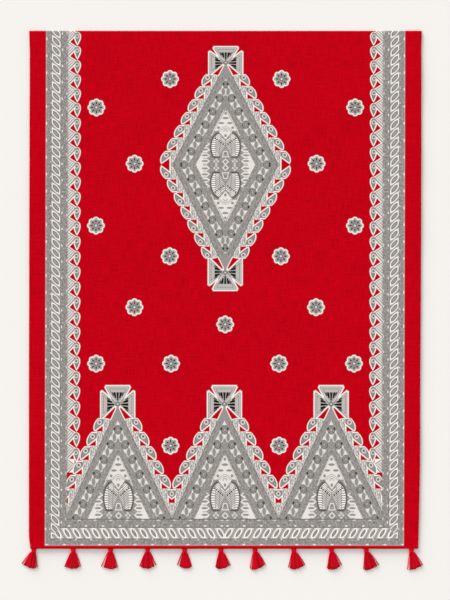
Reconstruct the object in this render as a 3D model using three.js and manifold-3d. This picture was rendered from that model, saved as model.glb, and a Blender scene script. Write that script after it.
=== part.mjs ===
// A printed cotton dupatta folded once in half across its width and laid out flat, with eleven
// tassels on the end hem that shows. Millimetres, +Z up, hem and tassels towards -Y, fold towards +Y.
// The origin is at the middle of the underside of everything built.
import * as THREE from "three";
import { mergeVertices } from "three/addons/utils/BufferGeometryUtils.js";
import Module from "manifold-3d";

// Driving dimensions of the cloth
const CLOTH_WIDTH = 950; // selvedge to selvedge
const HALF_LENGTH = 1259; // from the hem's edge to the fold
const WALL = 1.2; // thickness of one layer
const SEAM_GAP = 0.3; // between pieces that meet
const HEM_WIDTH = 8.2; // the end turned over twice
const HEM_THICK = 2.2;
const UNDER_INSET = 3; // how far the hidden layer lies inside the outline
const FOLD_RETURN = 9; // what the fold carries on to beneath itself

// How far each selvedge leaves the straight line, outwards being positive, at heights over the hem
const SELVEDGES = [
  { along: 0, left: -2.0, right: -5.4 },
  { along: 30, left: 1.5, right: -4.8 },
  { along: 200, left: 1.5, right: -1.1 },
  { along: 420, left: 1.4, right: -0.5 },
  { along: 700, left: 0.7, right: 1.3 },
  { along: 1010, left: -0.1, right: 2.1 },
  { along: 1210, left: -0.6, right: 2.0 },
  { along: 1259, left: 0.8, right: 3.2 },
];

// Soft waves of the upper layer. Each is a ridge line: where it is, how it turns, how wide and high.
const RIPPLES = [
  { across: -400, along: 1030, turn: 72, reach: 300, width: 46, rise: 1.5 },
  { across: 330, along: 1090, turn: 24, reach: 260, width: 52, rise: 1.2 },
  { across: -180, along: 760, turn: 8, reach: 420, width: 70, rise: 0.9 },
  { across: 240, along: 560, turn: -14, reach: 380, width: 62, rise: 1.1 },
  { across: -430, along: 430, turn: 84, reach: 240, width: 40, rise: 1.4 },
  { across: 440, along: 300, turn: 96, reach: 220, width: 38, rise: 1.6 },
  { across: -60, along: 250, turn: 4, reach: 300, width: 58, rise: 0.8 },
  { across: 452, along: 860, turn: 90, reach: 260, width: 36, rise: 1.5 },
];
const EDGE_LIFT = 1.3; // how far the cloth's border stands off the layer beneath
const EDGE_REACH = 60; // how wide that border is
const EDGE_WAVE = { rise: 0.7, length: 173 }; // the slow wave along a border

// Steps of the cloth's grids
const ACROSS_STEPS = 28;
const ALONG_STEPS = 32;
const NOSE_STEPS = 6;
const UNDER_ACROSS_STEPS = 12;
const UNDER_ALONG_STEPS = 16;
const HEM_STEPS = 42;
const WELD = 1e-4; // points nearer than this are one

// One tassel: its head is caught in the hem and bound at the neck, and its skirt fans out from there
const HEAD = [
  { drop: 0, half: 6.2, low: 1.3, high: 5.1 },
  { drop: 3.4, half: 6.1, low: 0.8, high: 5.9 },
  { drop: 7, half: 4.9, low: 0.5, high: 6.1 },
  { drop: 9.4, half: 4.7, low: 0.5, high: 6.1 },
  { drop: 13, half: 5.6, low: 0.4, high: 5.8 },
];
const HEAD_SIDES = 12;
const HEAD_LEAN = 1 / 2600; // share of the skirt's lean that the head takes, for each drop squared
const STRANDS = 21; // in each skirt
const STRAND_ROWS = 3; // one over the other where they leave the neck
const STRAND_STEPS = 4;
const STRAND_SIDES = 3;
const STRAND_ROOT = { drop: 11.5, half: 4.0, low: 1.4, high: 4.9, radius: 0.42 };
const STRAND_TIP = { low: 0.95, rise: 0.35, radius: 0.7 };
const STRAND_UNEVEN = 1.6; // how much the ends differ in length
const STRAND_BEND = 1.25; // 1 is straight, and more keeps a strand upright for longer

// Each tassel's place from the middle of the cloth, and how far the left edge, the middle and the
// right edge of its skirt end to the side of that place and below the hem
const TASSELS = [
  { at: -464.9, left: -29.0, leftDrop: 36.5, mid: -8.3, midDrop: 47.1, right: 8.5, rightDrop: 45.7 },
  { at: -368.9, left: -21.0, leftDrop: 44.0, mid: -1.2, midDrop: 49.3, right: 18.2, rightDrop: 42.5 },
  { at: -278.2, left: -22.6, leftDrop: 42.2, mid: -1.7, midDrop: 50.1, right: 17.0, rightDrop: 45.2 },
  { at: -188.3, left: -19.2, leftDrop: 42.0, mid: -1.0, midDrop: 48.6, right: 20.4, rightDrop: 40.8 },
  { at: -97.9, left: -18.2, leftDrop: 39.1, mid: 0.7, midDrop: 47.9, right: 16.8, rightDrop: 44.5 },
  { at: -9.7, left: -13.4, leftDrop: 45.7, mid: 1.0, midDrop: 49.1, right: 22.8, rightDrop: 40.6 },
  { at: 73.1, left: -12.4, leftDrop: 47.6, mid: 2.4, midDrop: 51.0, right: 25.4, rightDrop: 37.8 },
  { at: 167.4, left: -12.9, leftDrop: 46.2, mid: 5.1, midDrop: 50.3, right: 27.2, rightDrop: 39.4 },
  { at: 259.0, left: -10.6, leftDrop: 47.8, mid: 4.1, midDrop: 51.3, right: 24.6, rightDrop: 40.8 },
  { at: 343.4, left: -6.4, leftDrop: 51.2, mid: 7.0, midDrop: 51.4, right: 31.0, rightDrop: 39.4 },
  { at: 453.2, left: -9.8, leftDrop: 49.6, mid: 2.8, midDrop: 51.4, right: 28.2, rightDrop: 40.4 },
];

const RED = new THREE.MeshStandardMaterial({ color: 0xc00018, roughness: 0.9, metalness: 0 });
const TASSEL_RED = new THREE.MeshStandardMaterial({ color: 0xd2001c, roughness: 0.85, metalness: 0 });

const wasm = await Module();
wasm.setup();

const mix = (a, b, t) => a + (b - a) * t;
const steps = (count) => Array.from({ length: count + 1 }, (_, i) => i / count);
const bell = (x) => Math.exp(-x * x);
const HASH = { turn: 12.9898, spread: 43758.5453 }; // the usual pair for numbers that look random

// A value read from a table of rows sorted by one column, on a straight line between two rows
function readTable(rows, key, at, value) {
  const next = rows.findIndex((row) => row[key] >= at);
  if (next <= 0) return rows[next < 0 ? rows.length - 1 : 0][value];
  const a = rows[next - 1];
  const b = rows[next];
  return mix(a[value], b[value], (at - a[key]) / (b[key] - a[key]));
}

const leftEdge = (along) => -CLOTH_WIDTH / 2 - readTable(SELVEDGES, "along", along, "left");
const rightEdge = (along) => CLOTH_WIDTH / 2 + readTable(SELVEDGES, "along", along, "right");

// How far the upper layer stands off the hidden one at a place on the cloth
function lift(across, along) {
  let height = 0;
  for (const r of RIPPLES) {
    const angle = THREE.MathUtils.degToRad(r.turn);
    const x = across - r.across;
    const y = along - r.along;
    const onward = x * Math.cos(angle) + y * Math.sin(angle);
    const aside = y * Math.cos(angle) - x * Math.sin(angle);
    height += r.rise * bell(onward / r.reach) * bell(aside / r.width);
  }
  const inside = Math.min(across - leftEdge(along), rightEdge(along) - across, along);
  const wave = EDGE_WAVE.rise * (1 + Math.sin((2 * Math.PI * (along + across)) / EDGE_WAVE.length)) / 2;
  return height + (EDGE_LIFT + wave) * bell(inside / EDGE_REACH);
}

// A closed wall between two grids of points, grid[row][column], the outer one seen from outside with
// its columns running to the right and its rows running up
function wallGeometry(outer, inner) {
  const rows = outer.length;
  const columns = outer[0].length;
  const points = [...outer.flat(), ...inner.flat()];
  const faces = [];
  const under = rows * columns;
  const at = (row, column) => row * columns + column;
  const quad = (a, b, c, d) => faces.push(a, b, c, a, c, d);
  for (let j = 0; j < rows - 1; j++) {
    for (let i = 0; i < columns - 1; i++) {
      const [a, b, c, d] = [at(j, i), at(j, i + 1), at(j + 1, i + 1), at(j + 1, i)];
      quad(a, b, c, d);
      quad(under + a, under + d, under + c, under + b);
    }
  }
  for (let i = 0; i < columns - 1; i++) {
    quad(under + at(0, i), under + at(0, i + 1), at(0, i + 1), at(0, i));
    quad(at(rows - 1, i), at(rows - 1, i + 1), under + at(rows - 1, i + 1), under + at(rows - 1, i));
  }
  for (let j = 0; j < rows - 1; j++) {
    quad(at(j, 0), at(j + 1, 0), under + at(j + 1, 0), under + at(j, 0));
    quad(under + at(j, columns - 1), under + at(j + 1, columns - 1), at(j + 1, columns - 1), at(j, columns - 1));
  }
  return geometryOf(points, faces);
}

// A closed body through rings of points, each ring seen turning anticlockwise from ahead of the body
function ringGeometry(rings) {
  const sides = rings[0].length;
  const faces = [];
  for (let j = 0; j < rings.length - 1; j++) {
    for (let i = 0; i < sides; i++) {
      const a = j * sides + i;
      const b = j * sides + ((i + 1) % sides);
      faces.push(a, b, b + sides, a, b + sides, a + sides);
    }
  }
  const last = (rings.length - 1) * sides;
  for (let i = 1; i < sides - 1; i++) {
    faces.push(0, i + 1, i, last, last + i, last + i + 1);
  }
  return geometryOf(rings.flat(), faces);
}

function geometryOf(points, faces) {
  const geometry = new THREE.BufferGeometry();
  geometry.setAttribute("position", new THREE.Float32BufferAttribute(points.flat(), 3));
  geometry.setIndex(faces);
  return geometry;
}

function solidOf(geometry) {
  const merged = mergeVertices(geometry, WELD);
  const vertProperties = new Float32Array(merged.attributes.position.array);
  const triVerts = new Uint32Array(merged.index.array);
  return new wasm.Manifold(new wasm.Mesh({ numProp: 3, vertProperties, triVerts }));
}

function geometryFrom(solid) {
  const mesh = solid.getMesh();
  const geometry = new THREE.BufferGeometry();
  geometry.setAttribute("position", new THREE.BufferAttribute(mesh.vertProperties, 3));
  geometry.setIndex(new THREE.BufferAttribute(mesh.triVerts, 1));
  return geometry;
}

function meshOf(name, geometry, material) {
  geometry.computeVertexNormals();
  const mesh = new THREE.Mesh(geometry, material);
  mesh.name = name;
  return mesh;
}

const underTop = WALL; // the hidden layer's upper face
const clearOfUnder = underTop + SEAM_GAP;
const upperTop = (across, along) => clearOfUnder + WALL + lift(across, along);
const clothStart = HEM_WIDTH + SEAM_GAP; // where the single cloth meets its hem
const acrossAt = (t, along) => mix(leftEdge(along), rightEdge(along), t);

// The upper layer runs from the hem to the fold, round it, and a little way back beneath itself
function upperCloth() {
  const outer = [];
  const inner = [];
  const foldTop = (t) => upperTop(acrossAt(t, HALF_LENGTH), HALF_LENGTH);
  const noseStart = (t) => HALF_LENGTH - foldTop(t) / 2;
  for (const s of steps(ALONG_STEPS)) {
    outer.push([]);
    inner.push([]);
    for (const t of steps(ACROSS_STEPS)) {
      const along = mix(clothStart, noseStart(t), s);
      const across = acrossAt(t, along);
      const top = mix(upperTop(across, along), foldTop(t), bell((1 - s) * ALONG_STEPS));
      outer.at(-1).push([across, along, top]);
      inner.at(-1).push([across, along, top - WALL]);
    }
  }
  for (const turn of steps(NOSE_STEPS).slice(1)) {
    const angle = Math.PI * (0.5 - turn);
    outer.push([]);
    inner.push([]);
    for (const t of steps(ACROSS_STEPS)) {
      const across = acrossAt(t, HALF_LENGTH);
      const radius = foldTop(t) / 2;
      const [out, up] = [Math.cos(angle), Math.sin(angle)];
      outer.at(-1).push([across, noseStart(t) + radius * out, radius + radius * up]);
      inner.at(-1).push([across, noseStart(t) + (radius - WALL) * out, radius + (radius - WALL) * up]);
    }
  }
  const ends = steps(ACROSS_STEPS).map((t) => acrossAt(t, HALF_LENGTH));
  outer.push(ends.map((across) => [across, HALF_LENGTH - FOLD_RETURN, 0]));
  inner.push(ends.map((across) => [across, HALF_LENGTH - FOLD_RETURN, WALL]));
  return meshOf("cloth_upper", wallGeometry(outer, inner), RED);
}

// The hidden half lies flat on its whole underside, just inside the outline, with eased edges
function underCloth() {
  const eased = (t) => (t === 0 || t === 1 ? WALL / 2 : WALL);
  const near = UNDER_INSET + SEAM_GAP;
  const far = HALF_LENGTH - FOLD_RETURN - SEAM_GAP;
  const top = [];
  const bottom = [];
  for (const s of steps(UNDER_ALONG_STEPS)) {
    const along = mix(near, far, s);
    const row = steps(UNDER_ACROSS_STEPS).map((t) => [
      mix(leftEdge(along) + UNDER_INSET, rightEdge(along) - UNDER_INSET, t),
      along,
      Math.min(eased(t), eased(s)),
    ]);
    top.push(row);
    bottom.push(row.map(([x, y]) => [x, y, 0]));
  }
  return meshOf("cloth_under", wallGeometry(top, bottom), RED);
}

// The end is turned over twice and stitched down, so it is thicker than the cloth, with a round edge
function endHem() {
  const section = [
    { along: 0.0, up: 0.5 },
    { along: 0.5, up: 0.12 },
    { along: 1.0, up: 0.0 },
    { along: HEM_WIDTH, up: 0.0 },
    { along: HEM_WIDTH, up: 1.0 },
    { along: 1.0, up: 1.0 },
    { along: 0.5, up: 0.88 },
  ];
  const rings = steps(HEM_STEPS).map((t) =>
    section.map(({ along, up }) => {
      const across = acrossAt(t, along);
      return [across, along, clearOfUnder + lift(across, along) + up * HEM_THICK];
    }),
  );
  return meshOf("end_hem", ringGeometry(rings), RED);
}

// A number between 0 and 1 that looks random but is the same each time
const unevenness = (n) => THREE.MathUtils.euclideanModulo(Math.sin(n * HASH.turn) * HASH.spread, 1);

// A parabola through three values, at t of 0, a half and 1
const through = (a, b, c, t) => a * (1 - t) * (1 - 2 * t) + b * 4 * t * (1 - t) + c * t * (2 * t - 1);

function headSolid(tassel, foot) {
  const rings = HEAD.map(({ drop, half, low, high }) => {
    const lean = tassel.mid * HEAD_LEAN * drop * drop;
    return steps(HEAD_SIDES).slice(1).map((turn) => {
      const angle = turn * 2 * Math.PI;
      return [
        tassel.at + lean + half * Math.cos(angle),
        foot - drop,
        mix(low, high, 0.5 + 0.5 * Math.sin(angle)),
      ];
    });
  });
  return solidOf(ringGeometry(rings));
}

// One strand of the skirt: it leaves the neck straight down and bends out to its own place
function strandSolid(tassel, foot, index, number) {
  const t = index / (STRANDS - 1);
  const row = (index % STRAND_ROWS) / (STRAND_ROWS - 1);
  const uneven = (unevenness(number * STRANDS + index) - 0.5) * STRAND_UNEVEN;
  const root = { x: (t - 0.5) * 2 * STRAND_ROOT.half, drop: STRAND_ROOT.drop };
  const tip = {
    x: through(tassel.left, tassel.mid, tassel.right, t),
    drop: through(tassel.leftDrop, tassel.midDrop, tassel.rightDrop, t) + uneven - STRAND_TIP.radius,
  };
  const rootUp = mix(STRAND_ROOT.low, STRAND_ROOT.high, row);
  const tipUp = STRAND_TIP.low + STRAND_TIP.rise * row;
  const rings = steps(STRAND_STEPS).map((s) => {
    const bend = Math.pow(s, STRAND_BEND);
    const radius = mix(STRAND_ROOT.radius, STRAND_TIP.radius, Math.min(1, 2 * s));
    return steps(STRAND_SIDES).slice(1).map((turn) => {
      const angle = turn * 2 * Math.PI + Math.PI / 2;
      return [
        tassel.at + mix(root.x, tip.x, bend) + radius * Math.cos(angle),
        foot - mix(root.drop, tip.drop, s),
        mix(rootUp, tipUp, s) + radius * Math.sin(angle),
      ];
    });
  });
  return solidOf(ringGeometry(rings));
}

function tasselMesh(tassel, number) {
  const foot = -SEAM_GAP;
  const strands = Array.from({ length: STRANDS }, (_, index) => strandSolid(tassel, foot, index, number));
  const whole = strands.reduce((sum, strand) => sum.add(strand), headSolid(tassel, foot));
  const name = "tassel_" + String(number + 1).padStart(2, "0");
  return meshOf(name, geometryFrom(whole), TASSEL_RED);
}

const dupatta = new THREE.Group();
dupatta.add(upperCloth(), underCloth(), endHem(), ...TASSELS.map(tasselMesh));

// The origin goes to the middle of the underside of the whole
const middle = new THREE.Box3().setFromObject(dupatta).getCenter(new THREE.Vector3());
dupatta.children.forEach((mesh) => mesh.geometry.translate(-middle.x, -middle.y, 0));

export default dupatta;
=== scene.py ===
# %% [markdown]
# A printed cotton dupatta, folded once in half and laid flat
#
# The cloth is one long piece of plain-woven cotton with a selvedge down each side and a tasselled
# hem at each end. It is folded across its middle, so one half shows and the other lies beneath it.
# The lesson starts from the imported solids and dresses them: two thin shells for the cloth, a hem
# that is turned over and stitched, and tassels made of real threads. The print is worked out by
# sums in the shader, motif by motif, so that it stays sharp at any distance.

# %% Load the frame
import math

import bpy
import numpy as np
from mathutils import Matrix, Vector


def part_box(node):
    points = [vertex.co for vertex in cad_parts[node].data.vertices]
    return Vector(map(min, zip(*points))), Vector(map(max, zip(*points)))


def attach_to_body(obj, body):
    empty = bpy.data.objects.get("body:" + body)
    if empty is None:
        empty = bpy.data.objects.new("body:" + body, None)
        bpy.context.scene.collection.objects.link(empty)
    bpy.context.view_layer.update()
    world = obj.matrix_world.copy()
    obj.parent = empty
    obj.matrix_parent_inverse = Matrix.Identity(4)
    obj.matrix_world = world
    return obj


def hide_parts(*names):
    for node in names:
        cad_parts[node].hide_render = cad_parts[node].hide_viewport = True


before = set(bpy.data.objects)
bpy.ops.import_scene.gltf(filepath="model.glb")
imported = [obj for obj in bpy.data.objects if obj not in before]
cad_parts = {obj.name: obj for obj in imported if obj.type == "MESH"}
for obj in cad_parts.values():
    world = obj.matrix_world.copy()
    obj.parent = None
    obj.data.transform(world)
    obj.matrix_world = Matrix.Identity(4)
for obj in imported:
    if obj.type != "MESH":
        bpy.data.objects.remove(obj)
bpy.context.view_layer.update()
print("nodes:", len(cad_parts))

# %% [markdown]
# Sizes
#
# Everything is worked out from the cloth's own measures, in metres. A place on the cloth is given by
# how far it is across from the middle line and how far along from the hem's edge. The solids have
# their origin in the middle of the whole object, so one shift takes a place on the cloth there.

# %% Sizes of the cloth
MM = 0.001
CLOTH_WIDTH = 950 * MM
HALF_LENGTH = 1259 * MM
WALL = 1.2 * MM
SEAM_GAP = 0.3 * MM
HEM_WIDTH = 8.2 * MM
HEM_THICK = 2.2 * MM
UNDER_INSET = 3 * MM
FOLD_RETURN = 9 * MM
CLOTH_THICK = 0.7 * MM

SELVEDGE_ALONG = np.array([0, 30, 200, 420, 700, 1010, 1210, 1259]) * MM
LEFT_BULGE = np.array([-2.0, 1.5, 1.5, 1.4, 0.7, -0.1, -0.6, 0.8]) * MM
RIGHT_BULGE = np.array([-5.4, -4.8, -1.1, -0.5, 1.3, 2.1, 2.0, 3.2]) * MM

upper_low, upper_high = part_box("cloth_upper")
SHIFT_ACROSS = CLOTH_WIDTH / 2 + RIGHT_BULGE[-1] - upper_high.x
SHIFT_ALONG = HALF_LENGTH - upper_high.y
print("shift across %.5f along %.5f" % (SHIFT_ACROSS, SHIFT_ALONG))


def left_edge(along):
    """The left selvedge: half the width out from the middle line, and the bulge read from the table."""
    return -CLOTH_WIDTH / 2 - np.interp(along, SELVEDGE_ALONG, LEFT_BULGE)


def right_edge(along):
    """The right selvedge, found in the same way."""
    return CLOTH_WIDTH / 2 + np.interp(along, SELVEDGE_ALONG, RIGHT_BULGE)


def mix(a, b, t):
    """A straight step from a to b: a where t is 0 and b where t is 1."""
    return a + (b - a) * t


# %% [markdown]
# The lie of the cloth
#
# Cotton laid on a floor is never quite flat. Here and there it stands off the layer beneath in a
# long low ridge, and it lifts a little all round its border. Each ridge is a bell curve along its
# line and another across it, which keeps it soft at its ends. Its place, turn, reach, width and rise
# are listed in the table and are the same as in the solids.

# %% Ridges of the upper layer
RIPPLE_WORDS = ["across", "along", "turn", "reach", "width", "rise"]
RIPPLE_SIZES = [
    (-400, 1030, 72, 300, 46, 1.5),
    (330, 1090, 24, 260, 52, 1.2),
    (-180, 760, 8, 420, 70, 0.9),
    (240, 560, -14, 380, 62, 1.1),
    (-430, 430, 84, 240, 40, 1.4),
    (440, 300, 96, 220, 38, 1.6),
    (-60, 250, 4, 300, 58, 0.8),
    (452, 860, 90, 260, 36, 1.5),
]
RIPPLES = [dict(zip(RIPPLE_WORDS, sizes)) for sizes in RIPPLE_SIZES]
EDGE_LIFT = 1.3 * MM
EDGE_REACH = 60 * MM
EDGE_WAVE_RISE = 0.7 * MM
EDGE_WAVE_LENGTH = 173 * MM


def bell(x):
    """A bell curve: 1 at 0, and soon nothing on both sides."""
    return np.exp(-x * x)


def lift(across, along):
    """How far the upper layer stands off: all the ridges, and the border's lift with its slow wave."""
    height = np.zeros(np.broadcast(across, along).shape)
    for ripple in RIPPLES:
        turn = math.radians(ripple["turn"])
        x = across - ripple["across"] * MM
        y = along - ripple["along"] * MM
        onward = (x * math.cos(turn) + y * math.sin(turn)) / (ripple["reach"] * MM)
        aside = (y * math.cos(turn) - x * math.sin(turn)) / (ripple["width"] * MM)
        height = height + ripple["rise"] * MM * bell(onward) * bell(aside)
    inside = np.minimum(np.minimum(across - left_edge(along), right_edge(along) - across), along)
    wave = EDGE_WAVE_RISE * (1 + np.sin(2 * np.pi * (along + across) / EDGE_WAVE_LENGTH)) / 2
    return height + (EDGE_LIFT + wave) * bell(inside / EDGE_REACH)


def upper_top(across, along):
    """The upper layer's face: on the hidden layer, one wall thick, and its lift."""
    return WALL + SEAM_GAP + WALL + lift(across, along)


# %% [markdown]
# Camera, floor and light
#
# The cloth is seen from straight above on a plain pale floor. One broad low light from the upper
# left gives the soft narrow shadows on the right and below, and an even glow from all round keeps
# them light.

# %% Camera
LINE = 2.43 * MM
VIEW_ROWS = 600
ROWS_FROM_FOLD = 269.3
LENS = 85
SENSOR = 36
CLOTH_FACE = 4.0 * MM
VIEW_MIDDLE = (-SHIFT_ACROSS, HALF_LENGTH - ROWS_FROM_FOLD * LINE - SHIFT_ALONG)

camera_data = bpy.data.cameras.new("camera")
camera_data.lens = LENS
camera_data.sensor_width = SENSOR
camera = bpy.data.objects.new("camera", camera_data)
camera_height = CLOTH_FACE + VIEW_ROWS * LINE * LENS / SENSOR
camera.location = (*VIEW_MIDDLE, camera_height)
bpy.context.scene.collection.objects.link(camera)
bpy.context.scene.camera = camera
print("camera %.3f m above the floor" % camera_height)

# %% Floor
FLOOR_HALF = 6.0
FLOOR_DEPTH = 0.2 * MM
FLOOR_LOOK = {
    "Base Color": (0.857, 0.832, 0.811, 1),
    "Roughness": 0.9,
    "Specular IOR Level": 0.1,
}


def set_inputs(node, values):
    """Writes each value of a table into the node's input of that name."""
    for word, value in values.items():
        node.inputs[word].default_value = value


def new_material(name, look):
    """A plain material whose shader has the stated look."""
    material = bpy.data.materials.new(name)
    material.use_nodes = True
    set_inputs(material.node_tree.nodes["Principled BSDF"], look)
    return material


floor_mesh = bpy.data.meshes.new("floor")
floor_corners = [(-1, -1), (1, -1), (1, 1), (-1, 1)]
floor_points = [(FLOOR_HALF * x, FLOOR_HALF * y, -FLOOR_DEPTH) for x, y in floor_corners]
floor_mesh.from_pydata(floor_points, [], [(0, 1, 2, 3)])
floor_mesh.materials.append(new_material("floor_paint", FLOOR_LOOK))
floor = bpy.data.objects.new("floor", floor_mesh)
bpy.context.scene.collection.objects.link(floor)

# %% Light
LIGHT_ELEVATION = 12.5
LIGHT_TURN = 207
LIGHT_STRENGTH = 5.0
LIGHT_SPREAD = 30
LIGHT_COLOUR = (1.0, 0.985, 0.965)
GLOW_STRENGTH = 0.734
GLOW_COLOUR = (1.0, 0.995, 0.985, 1)

sun_data = bpy.data.lights.new("window_light", "SUN")
sun_data.energy = LIGHT_STRENGTH
sun_data.angle = math.radians(LIGHT_SPREAD)
sun_data.color = LIGHT_COLOUR
sun = bpy.data.objects.new("window_light", sun_data)
sun.rotation_euler = (math.radians(90 - LIGHT_ELEVATION), 0, math.radians(LIGHT_TURN))
bpy.context.scene.collection.objects.link(sun)

world = bpy.data.worlds.new("glow")
world.use_nodes = True
glow = world.node_tree.nodes["Background"]
set_inputs(glow, {"Color": GLOW_COLOUR, "Strength": GLOW_STRENGTH})
bpy.context.scene.world = world
bpy.context.scene.view_settings.view_transform = "Standard"

# %% [markdown]
# From grids to meshes
#
# Every new piece is a grid of points worked out with numpy and then joined into faces. A closed
# shell is two such grids, the outer and the inner face, that share their rim.

# %% Mesh helpers


def grid_faces(rows, columns, wrap=False):
    """Quads between neighbours of a grid stored row by row. With wrap, the last column meets the first."""
    index = np.arange(rows * columns).reshape(rows, columns)
    if wrap:
        index = np.concatenate([index, index[:, :1]], axis=1)
    return np.stack([index[:-1, :-1], index[:-1, 1:], index[1:, 1:], index[1:, :-1]], -1).reshape(-1, 4)


def new_piece(name, points, faces):
    """A smooth mesh object at the origin, from an array of points and a list of faces."""
    mesh = bpy.data.meshes.new(name)
    mesh.from_pydata(np.asarray(points).reshape(-1, 3).tolist(), [], [list(face) for face in faces])
    mesh.polygons.foreach_set("use_smooth", np.full(len(mesh.polygons), True))
    mesh.update()
    piece = bpy.data.objects.new(name, mesh)
    bpy.context.scene.collection.objects.link(piece)
    return piece


def on_row(across, along, up):
    """Places on the cloth as points in the object's own frame."""
    across, along, up = np.broadcast_arrays(across, along, up)
    return np.stack([across - SHIFT_ACROSS, along - SHIFT_ALONG, up], -1)


def set_map(piece, name, columns, rows):
    """Writes one value pair for each point into a UV map: metres across, and metres down from the fold."""
    mesh = piece.data
    corner = np.zeros(len(mesh.loops), np.int32)
    mesh.loops.foreach_get("vertex_index", corner)
    pairs = np.stack(np.broadcast_arrays(columns, rows), -1).reshape(-1, 2)[corner]
    layer = mesh.uv_layers.new(name=name)
    layer.uv.foreach_set("vector", pairs.astype(np.float32).ravel())


def triangles(piece):
    """How many triangles a piece has."""
    piece.data.calc_loop_triangles()
    return len(piece.data.loop_triangles)


# %% [markdown]
# The cloth
#
# Both halves are thin closed shells. The upper one runs from the hem to the fold, round it, and a
# little way back beneath itself. Close to its edges the grid is finer and the two faces curve
# together, so the edge is round as a woven selvedge is. The map that comes with each shell holds
# metres across the cloth and metres from the fold, measured on the surface, and the weave and the
# print follow it.

# %% Grid steps that are finer near both ends
RIM = 1.1 * MM
RIM_STEPS = np.array([0, 0.12, 0.4, 1.0, 2.4, 5.0]) * RIM


def steps_between(length, count):
    """Shares of a length, close together at both ends, where the edge is rounded, and even between."""
    middle = np.linspace(RIM_STEPS[-1], length - RIM_STEPS[-1], count)
    return np.concatenate([RIM_STEPS[:-1], middle, length - RIM_STEPS[:-1][::-1]]) / length


def rim_share(inside):
    """How much of the half thickness is there at a distance inside the edge: a quarter circle."""
    x = np.clip(inside / RIM, 0, 1)
    return np.sqrt(np.maximum(0, 1 - (1 - x) ** 2))


# %% Upper half
ACROSS_STEPS = 148
ALONG_STEPS = 196
NOSE_STEPS = 10
NOSE_EASE = 40
RETURN_SHARES = (0.5, 0.9, 1.0)
WELD_REACH = 1e-6
CLOTH_START = HEM_WIDTH + SEAM_GAP


def upper_rows(across_share, middle_height):
    """Points of the upper layer's middle surface, row by row, with what else is known of each.

    The flat rows follow the lie of the cloth, and ease to the nose's height close to the fold. The
    nose is a half circle as high as the cloth there. The last rows run back flat on the floor side.
    A row holds its places across, along and up, its normal, its distance down from the fold's crest,
    and how far it is inside the cloth's end.
    """
    fold_across = mix(left_edge(HALF_LENGTH), right_edge(HALF_LENGTH), across_share)
    fold_top = upper_top(fold_across, HALF_LENGTH)
    radius = fold_top / 2 - middle_height
    nose_start = HALF_LENGTH - fold_top / 2
    length = HALF_LENGTH - CLOTH_START
    rows = []
    for s in steps_between(length, ALONG_STEPS)[:-1]:
        along = mix(CLOTH_START, nose_start, s)
        across = mix(left_edge(along), right_edge(along), across_share)
        ease = bell((1 - s) * NOSE_EASE)
        up = mix(upper_top(across, along), fold_top, ease) - middle_height
        rows.append((across, along, up, (0.0, 0.0, 1.0), HALF_LENGTH - along, s * length))
    for turn in np.linspace(0, 1, NOSE_STEPS):
        angle = np.pi * (0.5 - turn)
        along = nose_start + radius * math.cos(angle)
        up = fold_top / 2 + radius * math.sin(angle)
        normal = (0.0, math.cos(angle), math.sin(angle))
        rows.append((fold_across, along, up, normal, radius * (1 - 2 * turn), RIM))
    for s in RETURN_SHARES:
        along = HALF_LENGTH - mix(fold_top / 2, FOLD_RETURN, s)
        down = -(radius + FOLD_RETURN * s)
        rows.append((fold_across, along, middle_height, (0.0, 0.0, -1.0), down, RIM * (1 - s)))
    points = np.array([on_row(*row[:3]) for row in rows])
    normals = np.array([np.broadcast_to(row[3], points[0].shape) for row in rows])
    across, down, inside = [
        np.array([np.broadcast_to(row[item], fold_across.shape) for row in rows]) for item in (0, 4, 5)
    ]
    return points, normals, across, down, inside


def shell_piece(name, points, normals, columns, rows, inside):
    """A closed shell round a middle surface: each face lies half the thickness along the normal, and
    both meet on the rim, where that share falls to nothing."""
    half = (CLOTH_THICK / 2 * rim_share(inside))[..., None]
    shape = points.shape[:2]
    outer = grid_faces(*shape)
    inner = outer[:, ::-1] + shape[0] * shape[1]
    both = np.concatenate([points + normals * half, points - normals * half]).reshape(-1, 3)
    piece = new_piece(name, both, np.concatenate([outer, inner]))
    set_map(piece, "cloth", np.concatenate([columns, columns]), np.concatenate([rows, rows]))
    weld = piece.modifiers.new("join_rim", "WELD")
    weld.merge_threshold = WELD_REACH
    with bpy.context.temp_override(object=piece, active_object=piece):
        bpy.ops.object.modifier_apply(modifier=weld.name)
    return piece


across_share = steps_between(CLOTH_WIDTH, ACROSS_STEPS)
upper_points, upper_normals, upper_columns, upper_down, upper_end = upper_rows(
    across_share, CLOTH_THICK / 2
)
side_inside = np.minimum(across_share, 1 - across_share) * CLOTH_WIDTH
upper_inside = np.minimum(side_inside, upper_end)
cloth_upper = shell_piece(
    "cloth_upper_shell", upper_points, upper_normals, upper_columns, upper_down, upper_inside
)
print("upper cloth:", triangles(cloth_upper), "triangles")

# %% Hidden half
UNDER_ACROSS_STEPS = 60
UNDER_ALONG_STEPS = 84
under_length = HALF_LENGTH - FOLD_RETURN - SEAM_GAP - (UNDER_INSET + SEAM_GAP)
under_share = steps_between(CLOTH_WIDTH, UNDER_ACROSS_STEPS)
under_along_share = steps_between(under_length, UNDER_ALONG_STEPS)
under_along = (UNDER_INSET + SEAM_GAP + under_along_share * under_length)[:, None]
under_left = left_edge(under_along) + UNDER_INSET
under_right = right_edge(under_along) - UNDER_INSET
under_across = mix(under_left, under_right, under_share[None, :])
under_points = on_row(under_across, under_along, CLOTH_THICK / 2)
under_normals = np.broadcast_to((0.0, 0.0, 1.0), under_points.shape)
under_end = (np.minimum(under_along_share, 1 - under_along_share) * under_length)[:, None]
under_inside = np.minimum(under_end, (np.minimum(under_share, 1 - under_share) * CLOTH_WIDTH)[None, :])
cloth_under = shell_piece(
    "cloth_under_shell", under_points, under_normals, under_across,
    np.broadcast_to(HALF_LENGTH - under_along, under_across.shape), under_inside,
)
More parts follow.
